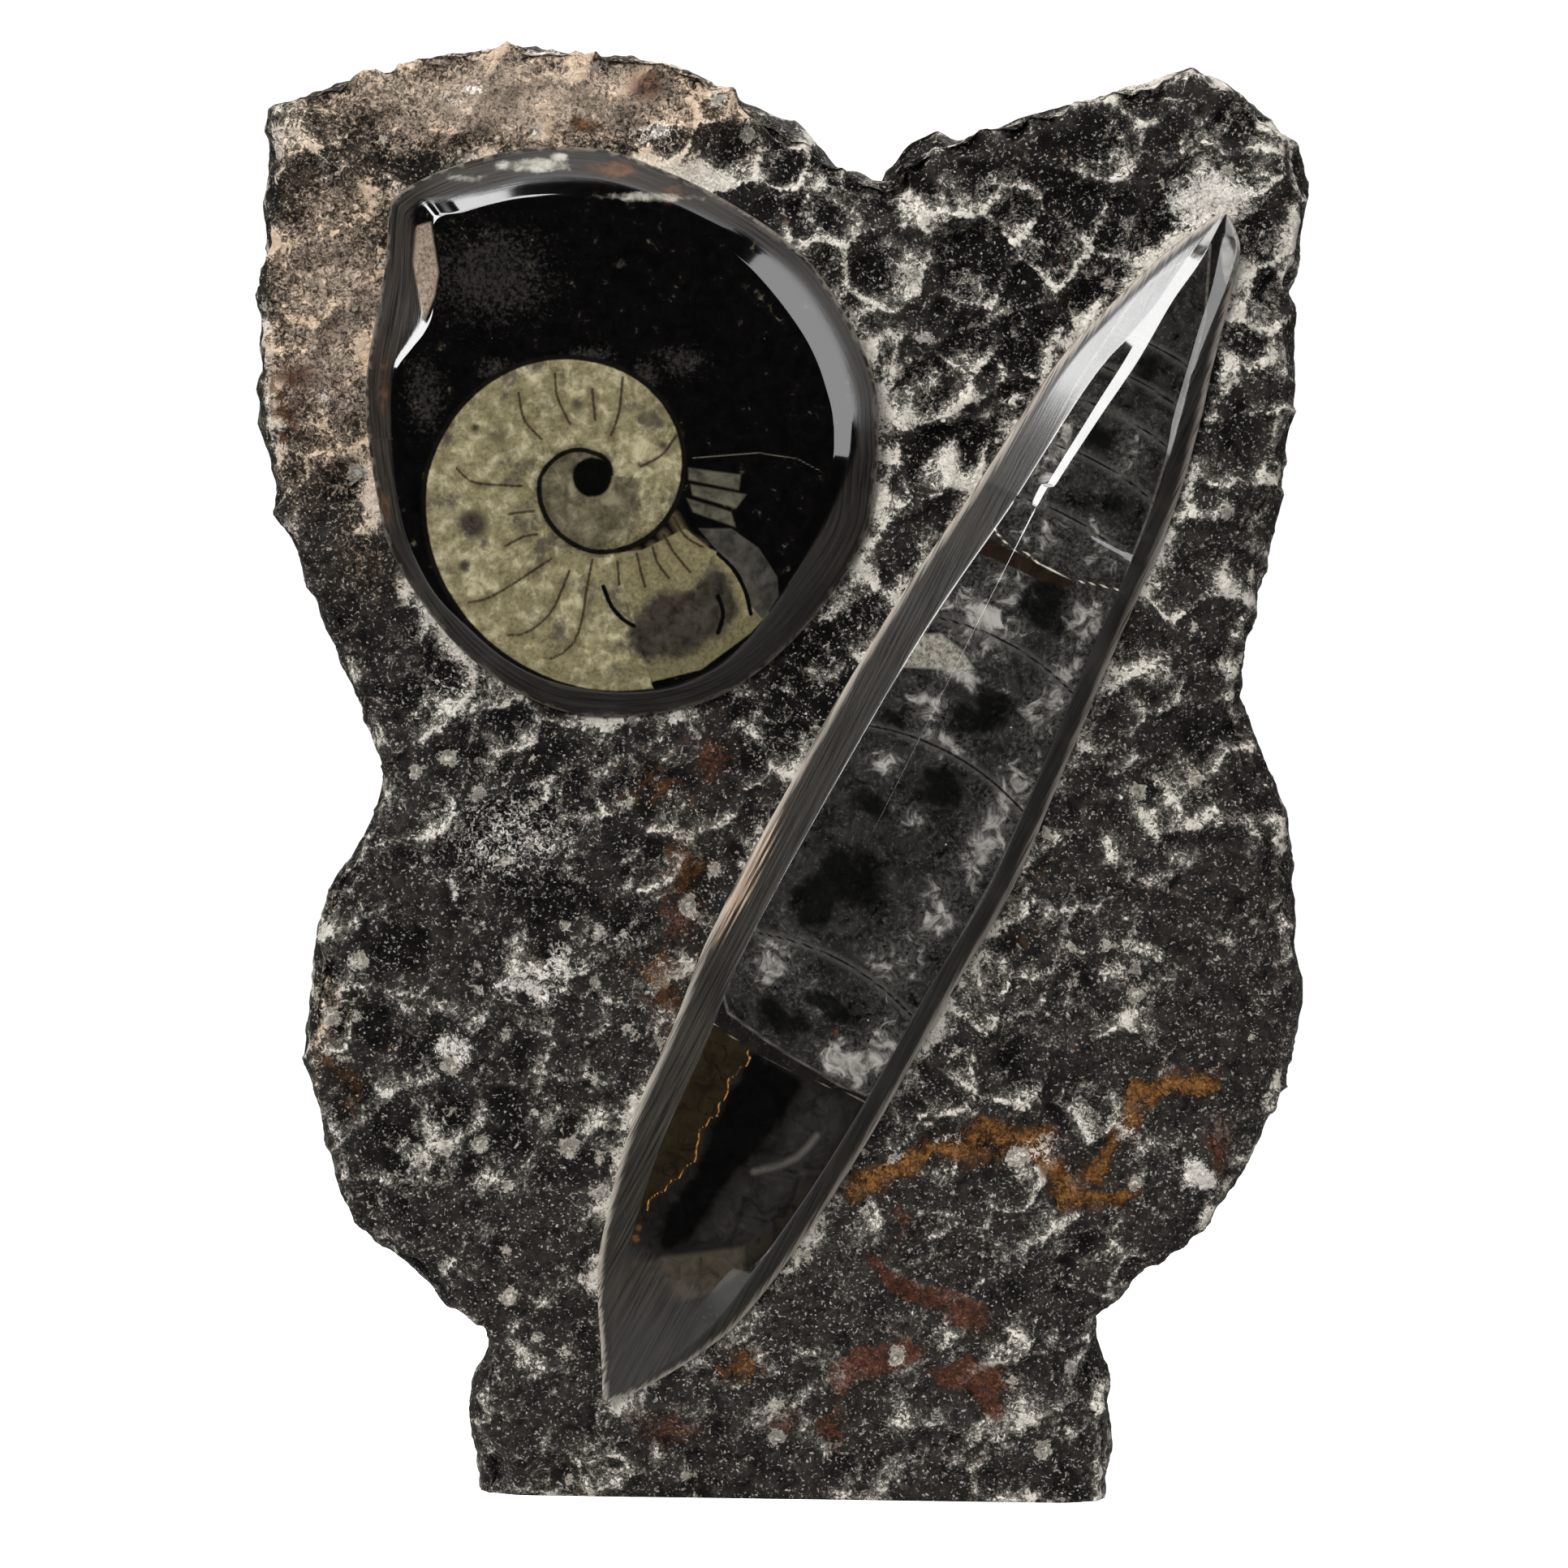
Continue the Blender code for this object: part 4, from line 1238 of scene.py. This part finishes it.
# Pale haze and dark smoke in the calcite: where, their reach, and how strong.
HAZE: Places = (
    ((118, -16), (16, 5), 0.75), ((150, -18), (16, 5.5), 0.9),
    ((176, -15), (10, 5), 0.7), ((189, -13), (8, 6), 0.6),
    ((110, 7), (9, 9), 0.85), ((123, 5), (2.6, 9), 0.8),
    ((133, 9), (4, 5), 0.8), ((139, 1), (3, 7), 0.8),
    ((150, 12), (3, 4), 0.6), ((158, 2), (3, 5), 0.65),
    ((203, 13), (6, 5), 0.85), ((206, 2), (4, 6), 0.55),
    ((216, -14), (5, 7.5), 1), ((209, -19), (8, 5), 0.8),
    ((70, 9), (12, 4), 0.7), ((85, 3), (7, 8), 0.55),
    ((84, -10), (7, 7), 0.5), ((60, -6), (9, 4), 0.5),
    ((98, -14), (7, 6), 0.7), ((99, 4), (5, 7), 0.6),
)
SMOKE: Places = (
    ((98, -2), (8, 9), 0.9), ((128, -4), (9, 9), 0.9),
    ((148, -2), (8, 8), 0.8), ((160, 8), (6, 9), 0.9),
    ((176, 4), (10, 12), 1), ((186, 12), (8, 8), 0.8),
    ((206, -4), (3, 10), 0.9), ((213, 6), (5, 10), 1),
    ((140, 14), (6, 5), 0.7), ((60, 3), (4, 6), 0.8),
    ((40, 0), (8, 5), 0.9), ((72, -4), (4, 7), 0.8),
    ((196, 17), (6, 3), 0.6),
)
GREY_AREA: Corners = (
    (223.6, -6.8), (222.8, -20), (240, -20.6), (262, -17), (276, -12), (266, -11),
    (272, 0), (262, -0.6), (252, -3), (240, -7), (230, -6),
)
FLAKE: Corners = (
    (128.1, 18.4), (125, 11.6), (122.8, 6.2), (120.8, 3), (118.2, 7.5), (117, 14),
    (119.4, 18),
)
# Little rings of shell in the brown stone: where, and their radius.
RINGS = (
    ((257.1, 12.2), 1.6), ((256, 9.4), 1.4), ((268, 11.3), 2.2), ((228.1, 15.2), 2.6),
    ((239.9, 11.4), 2), ((232.5, 13), 1.4),
)


# ---- the hammered stone ----


@dataclass
class StoneMatrix:
    """The hammered slab that the bosses stand on.

    Its outline is four edges. Its front and back are each a Coons patch of them, which blends
    the opposite edges and takes off the corners counted twice, and rings join the two patches.
    """

    lozenge: GoniatiteLozenge
    spindle: OrthocerasSpindle
    finish: StoneFinish = HAMMERED_LIMESTONE
    left_edge: Corners = (
        (-73.2, 0), (-73.4, 6), (-75.2, 14.5), (-74.6, 23), (-71.9, 31.9), (-70.8, 36.7),
        (-73.4, 41.6), (-80.8, 46.9), (-98.1, 62.3), (-106.1, 74.5), (-112.4, 99.8),
        (-113.6, 119), (-110.5, 138.7), (-108.4, 145.9), (-99.5, 157.3), (-95.3, 169.5),
        (-97.4, 180.1), (-110.5, 211.5), (-116.9, 230.1), (-122.1, 249.5), (-122.8, 279.3),
        (-121.5, 290.3), (-121.9, 303.1), (-119.4, 325.9),
    )
    right_edge: Corners = (
        (76.8, 0), (77.6, 4), (78.4, 14), (76.6, 31), (74.6, 41.4), (76, 45),
        (89.8, 58), (100.8, 66.7), (108, 76.2), (117.5, 96.5), (122.1, 115),
        (121.1, 134.5), (119.6, 156.4), (112.4, 178.4), (106.9, 192.5), (111.6, 212.4),
        (117.9, 250.4), (119.6, 275.1), (119.2, 285.2), (121.9, 292), (122.1, 314.1),
        (116.6, 323.6), (110.7, 329.3),
    )
    top_edge: Corners = (
        (-119.4, 325.9), (-109.7, 331.4), (-92.8, 336.1), (-75.7, 340.1), (-64.9, 341.4),
        (-46.1, 339.9), (-24.8, 337.4), (-12.1, 330.6), (3.1, 322.6), (13, 314.4),
        (23.8, 311.6), (29, 315.6), (48.7, 322.6), (82.7, 332.7), (93.2, 334.8),
        (103.3, 333.8), (110.7, 329.3),
    )
    front_y: float = FRONT_Y
    back_foot_y: float = 28.5
    back_lean: float = 0.045
    foot_set_back: float = 12.0
    foot_height: float = 36.0
    arris_drop: float = 3.0
    arris_reach: float = 5.0
    # How far the outline draws in, from the front at -1 to the back at 1.
    insets: Corners = (
        (-1, 3), (-0.8, 1), (-0.4, 0), (0.3, 1.5), (0.8, 6), (1, 11),
    )
    # The small lump behind the notch: its x, its y and how far it rises.
    knob: tuple[float, float, float] = (33.0, 9.0, 5.0)
    steps_across: int = 290
    steps_up: int = 400
    rings: int = 34
    triangles: int = 196000
    # Noises in its general surface: their size, their height and their seed.
    swells: tuple[tuple[float, float, int], ...] = (
        (75, 2, 11), (30, 1.2, 12), (13, 0.9, 13), (6, 0.45, 14), (2.6, 0.30, 15),
    )
    bites: tuple[BiteLayer, ...] = (
        BiteLayer(13.0, 4.2, 21, 0.8), BiteLayer(6.0, 2.2, 31, 0.9), BiteLayer(2.8, 0.9, 41, 0.9),
    )

    def surface(self, across: Array, up: Array, through: Array) -> Array:
        """Where the slab's skin is, before it is broken up.

        Args:
            across: 0 at the left edge to 1 at the right.
            up: 0 at the foot to 1 at the top.
            through: -1 at the front to 1 at the back.

        Returns:
            An (n, 3) array of places.
        """
        samples = 900
        even = np.linspace(0, 1, samples)
        left, right, top = (
            smooth_curve(edge, samples) for edge in (self.left_edge, self.right_edge, self.top_edge)
        )
        inset = np.interp(through, *np.array(self.insets).T)

        def along(curve: Array, share: Array) -> Array:
            """The places at given shares of a curve's length."""
            return np.column_stack([np.interp(share, even, curve[:, k]) for k in range(2)])

        left_at, right_at, top_at = along(left, up), along(right, up), along(top, across)
        left_at[:, 0] += inset
        right_at[:, 0] -= inset
        top_at[:, 1] -= inset
        top_at[:, 0] += inset * (1 - 2 * across)
        foot_left = np.column_stack([left[0, 0] + inset, 0 * inset])
        foot_right = np.column_stack([right[0, 0] - inset, 0 * inset])
        u, v = across[:, None], up[:, None]
        foot_at = (1 - u) * foot_left + u * foot_right
        top_left = left[-1] + np.column_stack([inset, -inset])
        top_right = right[-1] - np.column_stack([inset, inset])
        face = (
            (1 - u) * left_at + u * right_at + (1 - v) * foot_at + v * top_at
            - (1 - u) * (1 - v) * foot_left - u * (1 - v) * foot_right
            - (1 - u) * v * top_left - u * v * top_right
        )
        x, z = face.T
        wide = right_at[:, 0] - left_at[:, 0]
        edge = np.minimum(
            np.minimum(across, 1 - across) * wide, (1 - up) * (z + 10) / (up + 0.01)
        )
        drop = self.arris_drop * np.exp(-((edge / self.arris_reach) ** 2))
        low = np.clip(1 - z / self.foot_height, 0, 1)
        set_back = self.foot_set_back * low**2 * np.clip(0.5 - x / 150.0, 0, 1)
        front = self.front_y + drop + set_back
        back = self.back_foot_y - self.back_lean * z - drop
        y = front + (back - front) * (through + 1) / 2
        knob_x, knob_y, knob_rise = self.knob
        lump = np.exp(-(((x - knob_x) / 6.8) ** 4) - ((y - knob_y) / 8.0) ** 2)
        z = z + knob_rise * lump * smoothstep(285.0, 300.0, z)
        return np.column_stack([x, y, z])

    def grid(self) -> tuple[Array, Array]:
        """The skin's points, by their three shares, and its quads.

        Returns:
            An (n, 3) array of across, up and through, and an (m, 4) array of corners.
        """
        wide, tall = self.steps_across, self.steps_up
        u, v = np.meshgrid(np.arange(wide + 1), np.arange(tall + 1))
        front = (v * (wide + 1) + u).astype(int)
        rim = np.concatenate([
            front[0, :-1], front[:-1, -1], front[-1, :0:-1], front[:0:-1, 0]
        ])
        count = front.size
        u, v = u.ravel() / wide, v.ravel() / tall
        through = -np.cos(np.pi * np.arange(1, self.rings) / self.rings)
        around = len(rim)
        shares = np.vstack([
            np.column_stack([u, v, np.full(count, -1.0)]),
            np.column_stack([
                np.tile(u[rim], len(through)), np.tile(v[rim], len(through)),
                np.repeat(through, around),
            ]),
            np.column_stack([u, v, np.full(count, 1.0)]),
        ])
        patch = np.stack([front[:-1, :-1], front[:-1, 1:], front[1:, 1:], front[1:, :-1]], -1)
        patch = patch.reshape(-1, 4)
        middle = count + np.arange(len(through) * around).reshape(len(through), around)
        back = count + len(through) * around
        rows = np.vstack([rim[None], middle, rim[None] + back])
        follow = np.roll(rows, -1, axis=1)
        sides = np.stack([rows[:-1], rows[1:], follow[1:], follow[:-1]], -1).reshape(-1, 4)
        return shares, np.vstack([patch, sides, patch[:, ::-1] + back])

    def relief(self, points: Array, front: Array) -> tuple[Array, Array]:
        """How far the broken stone stands out, and its whitening: bruising and painted highlight.

        Args:
            points: an (n, 3) array of places on the general surface.
            front: whether each is on the slab's front or rim.

        Returns:
            Heights in millimetres, and whitening from 0 to about 1: bruising, and painted
            highlight on the bite flanks that face the key light.
        """
        warp = np.column_stack([swell(points, 8.0, seed) for seed in (51, 52, 53)])
        warped = points + 2.4 * warp
        height = sum(tall * swell(points, size, seed) for size, tall, seed in self.swells)
        scalloped = np.clip(
            0.75 + 0.45 * swell(points, 55.0, 31) + 0.4 * smoothstep(150, 230, points[:, 2]), 0, 1.4
        )
        bruise_and_highlight = np.zeros(len(points))
        for layer, share in zip(self.bites, (0.9, 0.6, 0.25)):
            cut, ridge = layer.cut(warped)
            strength = scalloped if layer is self.bites[0] else 0.35 + 0.65 * front
            height = height + (cut - 0.45 * layer.depth) * strength
            bruise_and_highlight = np.maximum(bruise_and_highlight, share * ridge * strength)
        patches = 0.7 * swell(warped, 7.0, 71) + 0.45 * swell(warped, 3.2, 72)
        return height, bruise_and_highlight + 0.5 * patches

    def build(self) -> bpy.types.Object:
        """Makes the slab: its skin, broken up along its normals and thinned where it is plain.

        Returns:
            The dressed piece.
        """
        shares, quads = self.grid()
        base = self.surface(*shares.T)
        no_tris = np.empty((0, 3), int)
        piece = make_piece("hammered_limestone", base, quads, no_tris, self.finish)
        normals = np.empty(base.size, np.float32)
        piece.data.vertex_normals.foreach_get("vector", normals)
        normals = normals.reshape(-1, 3)
        front = shares[:, 2] < -0.99
        height, bruise_and_highlight = self.relief(base, shares[:, 2] < 0.6)
        height *= 1 - 0.5 * smoothstep(-0.99, -0.6, shares[:, 2])
        spots = base[:, [0, 2]]
        border = np.minimum(self.lozenge.outside(spots), self.spindle.outside(spots))
        border = np.where(front, border, 60.0)
        deep = front * blots(spots, DEEP_PLACES)
        calm = 0.25 + 0.75 * smoothstep(0.0, 7.0, border)
        height = height * calm * (1 + 0.5 * deep) - 1.8 * deep
        height -= 1.0 * np.exp(-((np.maximum(border, 0) / 6.0) ** 2))
        hidden = border < -2.5
        height = np.where(hidden, -2.0, height)
        fade = smoothstep(0.0, 4.0, base[:, 2])
        moved = base + normals * (height * fade)[:, None]
        moved[:, 2] = np.maximum(moved[:, 2], 0.0)
        piece.data.vertices.foreach_set("co", (moved * MM).astype(np.float32).ravel())
        piece.data.update()
        across, up = shares[:, 0], shares[:, 1]
        rim = np.minimum(240.0 * np.minimum(across, 1 - across), 340.0 * (1 - up))
        rim = np.where(shares[:, 2] < -0.9, np.minimum(rim, 200.0 * up + 1.5), 60.0)
        crushed = (0.3 + 0.5 * swell(base, 17.0, 91)) * smoothstep(6.0, 0.4, border)
        chipped = (0.25 + 0.3 * swell(base, 9.0, 92)) * smoothstep(4.5, 0.5, rim)
        add_fields(piece, {
            # Whitening: crests with painted highlight on their lit flanks, crushed stone round the
            # bosses, chipped edges.
            "bruise_and_highlight": bruise_and_highlight + crushed + chipped,
            # How deep each point lies, which the painted shade in the hollows reads.
            "hollow_shade": -height,
        } | self.stains(base, front))
        self.thin(piece, len(quads) * 2)
        return piece

    def stains(self, points: Array, front: Array) -> dict[str, Array]:
        """Where the stone is stained or bruised, as shares from 0 to 1.

        Args:
            points: an (n, 3) array of places on the general surface.
            front: whether each is on the slab's front.

        Returns:
            A field for each kind of stain.
        """
        wander = [3.5 * swell(points, 9.0, k) + 1.6 * swell(points, 3.6, k + 4) for k in (81, 82)]
        spots = points[:, [0, 2]] + np.column_stack(wander)
        veins = np.exp(-((nearest(path_distance, spots, ORANGE_VEINS) / 3.0) ** 2))
        red_brown = smoothstep(2.0, -1.5, nearest(area_distance, spots, RED_BROWN_AREAS))
        seen = np.where(front, 1.0, 0.6)
        return {
            "tan": seen * blots(spots, TAN_PLACES),
            "orange": seen * np.maximum(veins, blots(spots, ORANGE_PLACES)),
            "red_brown": seen * np.maximum(red_brown, blots(spots, RED_BROWN_PLACES)),
            "white": seen * blots(spots, WHITE_PLACES),
        }

    def thin(self, piece: bpy.types.Object, count: int) -> None:
        """Merges the plainest triangles until the piece is down to its count.

        Args:
            piece: the object, whose mesh is replaced.
            count: how many triangles it has.
        """
        modifier = piece.modifiers.new("thin", "DECIMATE")
        modifier.ratio = self.triangles / count
        graph = bpy.context.evaluated_depsgraph_get()
        mesh = bpy.data.meshes.new_from_object(piece.evaluated_get(graph))
        piece.modifiers.clear()
        old, piece.data = piece.data, mesh
        bpy.data.meshes.remove(old)
        mesh.name = piece.name
        mesh.shade_smooth()


# Places on the hammered front, as (x, z): where, their reach each way, and how strong.
DEEP_PLACES: Places = (
    ((48, 262), (24, 30), 1), ((70, 300), (26, 14), 0.6),
    ((104, 240), (10, 30), 0.5), ((10, 185), (16, 14), 0.5),
)
TAN_PLACES: Places = (
    ((-104, 280), (24, 52), 1), ((-60, 329), (56, 15), 1.35),
    ((-108, 112), (6, 16), 0.7), ((-100, 225), (12, 26), 0.6),
    ((-20, 160), (22, 22), 0.3),
)
RED_BROWN_PLACES: Places = (
    ((12, 17), (3.6, 9), 0.9), ((-1.4, 20.3), (7.8, 6), 0.8),
    ((-28.6, 18.2), (13, 5), 0.75), ((103.3, 83.6), (2.4, 10.6), 0.85),
    ((-31, 332), (5, 5), 1), ((-16.4, 174.4), (4.5, 4.5), 1),
    ((-114, 265), (9, 5), 0.9), ((-26, 138), (4, 9), 0.8),
    ((26, 68), (2, 6), 0.8),
)
RED_BROWN_AREAS: tuple[Corners, ...] = (
    ((20.2, 61), (29.2, 57.2), (37.3, 52.8), (46.8, 47.7), (48.2, 41.4), (44.4, 40.9),
     (39.2, 41.4), (33, 43.9), (27.8, 49), (21.6, 56.6)),
    ((34.3, 32.5), (41.9, 35.2), (52, 31.4), (54.4, 28.7), (52, 26.2), (50.6, 21.1),
     (45.7, 21.9), (38.1, 27.6)),
    ((10.2, 32.5), (17.8, 36.3), (26.7, 39), (34.3, 39.5), (30.5, 33.8), (22.9, 28.7),
     (15.3, 26.2), (10.2, 27.6)),
)
ORANGE_PLACES: Places = (
    ((-46.9, 322.8), (4.3, 2.6), 1), ((-10, 32), (5, 4), 0.7),
    ((44, 84), (14, 6), 0.7), ((-104, 100), (3, 10), 0.5),
    ((-23, 148), (5, 12), 0.6), ((-29, 122), (5, 12), 0.6),
    ((-30, 170), (10, 6), 0.4), ((-118, 258), (5, 12), 0.5),
)
WHITE_PLACES: Places = (
    ((100.2, 305.5), (11, 8.5), 1), ((97.4, 78.1), (5.6, 4.4), 1.1),
    ((-60, 121), (10, 3.6), 0.8), ((-52, 127), (5, 5), 0.7),
    ((-79, 106), (4, 4.6), 0.75), ((-78, 145), (2.4, 5), 0.7),
    ((80, 91), (5, 5), 0.65), ((61, 84), (7, 3), 0.55),
    ((38, 86), (8, 3), 0.5), ((-75, 330), (9, 3), 0.6),
    ((-30, 322), (8, 4), 0.6), ((-104, 315), (6, 4), 0.5),
    ((-66, 158), (30, 18), 0.5), ((-78, 190), (14, 14), 0.4),
)
ORANGE_VEINS: tuple[Corners, ...] = (
    ((18.1, 74.5), (26.1, 80), (33.9, 83.2), (41.7, 81.7), (47.4, 88), (56.7, 86.3),
     (66.2, 80), (69.4, 72.2), (81.2, 71.4)),
    ((73.2, 78.5), (79.5, 90.3), (85, 97.3), (89.8, 99.8), (100.8, 100.1)),
)


# ---- the studio ----


@dataclass
class Studio:
    """A pale floor, a white surround, soft lights and a camera at the photograph's angle.

    Directions are given from the slab's middle, as degrees round from the front (left is minus)
    and degrees up.
    """

    aim: tuple[float, float, float] = (0.0, -18.0, 169.5)
    camera_height: float = 235.0
    camera_distance: float = 1300.0
    frame_width: float = 367.1

    def lamp(self, name: str, turn: float, up: float, far: float, size: tuple[float, float],
             radiance: float) -> None:
        """Adds a softbox that faces the slab.

        Args:
            name: the light's name.
            turn: degrees round from the front.
            up: degrees up.
            far: its distance, in metres.
            size: its width and height, in metres.
            radiance: how bright its face is, where 1 is the white of the picture.
        """
        light = bpy.data.lights.new(name, "AREA")
        light.shape = "RECTANGLE"
        light.size, light.size_y = size
        light.energy = radiance * math.pi * size[0] * size[1]
        lamp = bpy.data.objects.new(name, light)
        turn, up = math.radians(turn), math.radians(up)
        way = Vector((math.sin(turn) * math.cos(up), -math.cos(turn) * math.cos(up), math.sin(up)))
        lamp.location = Vector(self.aim) * MM + far * way
        lamp.rotation_euler = way.to_track_quat("Z", "Y").to_euler()
        bpy.context.scene.collection.objects.link(lamp)

    def build(self) -> None:
        """Makes the floor, the surround, the lights and the camera."""
        scene = bpy.context.scene
        mesh = bpy.data.meshes.new("floor")
        mesh.from_pydata(
            [(-0.7, -0.15, 0.0), (0.7, -0.15, 0.0), (0.7, 0.6, 0.0), (-0.7, 0.6, 0.0)], [],
            [(0, 1, 2, 3)],
        )
        floor = bpy.data.objects.new("floor", mesh)
        scene.collection.objects.link(floor)
        paper = bpy.data.materials.new("white_paper")
        paper.use_nodes = True
        shader = paper.node_tree.nodes["Principled BSDF"]
        shader.inputs["Base Color"].default_value = (0.82, 0.82, 0.82, 1.0)
        shader.inputs["Roughness"].default_value = 0.9
        shader.inputs["Specular IOR Level"].default_value = 0.0
        shader.inputs["Emission Color"].default_value = (1.0, 1.0, 1.0, 1.0)
        # It glows white for the camera, less near the foot, where the slab's shadow falls.
        add = partial(add_node, paper.node_tree)
        place = add("TexCoord", output="Object")
        away = add("VectorMath", {0: place, 1: (0.08, 0.08, 0.0)}, 1, operation="DISTANCE")
        glow = add("MapRange", {"Value": away, "From Min": 0.02, "From Max": 0.20, "To Min": 0.35,
                                "To Max": 1.0}, interpolation_type="SMOOTHSTEP")
        seen = add("LightPath", output="Is Camera Ray")
        glow = add("Math", {0: glow, 1: seen}, operation="MULTIPLY")
        paper.node_tree.links.new(glow, shader.inputs["Emission Strength"])
        mesh.materials.append(paper)
        # The key's and the upper card's places set the highlights on the bosses' bevels.
        self.lamp("key", -35.0, 30.0, 1.5, (0.78, 0.76), 22.0)
        self.lamp("upper card", -22.5, 52.0, 1.5, (0.44, 0.30), 16.0)
        self.lamp("top", 10.0, 82.0, 1.2, (1.2, 0.6), 4.0)
        self.lamp("fill", 52.0, 21.0, 1.5, (0.58, 1.30), 6.0)
        self.lamp("back", 155.0, 40.0, 1.6, (0.9, 0.7), 9.0)
        world = bpy.data.worlds.new("surround")
        world.use_nodes = True
        tree = world.node_tree
        sky = tree.nodes["Background"]
        seen = add_node(tree, "LightPath", output="Is Camera Ray")
        strength = add_node(tree, "MapRange", {"Value": seen, "To Min": 0.03, "To Max": 1.05})
        sky.inputs["Color"].default_value = (1.0, 1.0, 1.0, 1.0)
        tree.links.new(strength, sky.inputs["Strength"])
        scene.world = world
        camera = bpy.data.cameras.new("camera")
        camera.sensor_width = 36.0
        camera.lens = 36.0 * self.camera_distance / self.frame_width
        viewer = bpy.data.objects.new("camera", camera)
        aim = Vector(self.aim) * MM
        viewer.location = (aim.x, aim.y - self.camera_distance * MM, self.camera_height * MM)
        viewer.rotation_euler = (aim - viewer.location).to_track_quat("-Z", "Y").to_euler()
        scene.collection.objects.link(viewer)
        scene.camera = viewer
        scene.view_settings.view_transform = "Standard"


def main() -> None:
    """Builds the display, piece by piece, and the studio round it."""
    lozenge, spindle = GoniatiteLozenge(), OrthocerasSpindle()
    matrix = StoneMatrix(lozenge, spindle)
    for part in (lozenge, spindle, matrix):
        piece = part.build()
        LOG.info("%s: %d faces", piece.name, len(piece.data.polygons))
    Studio().build()


if __name__ == "__main__":
    logging.basicConfig(level=logging.INFO, format="%(message)s")
    main()
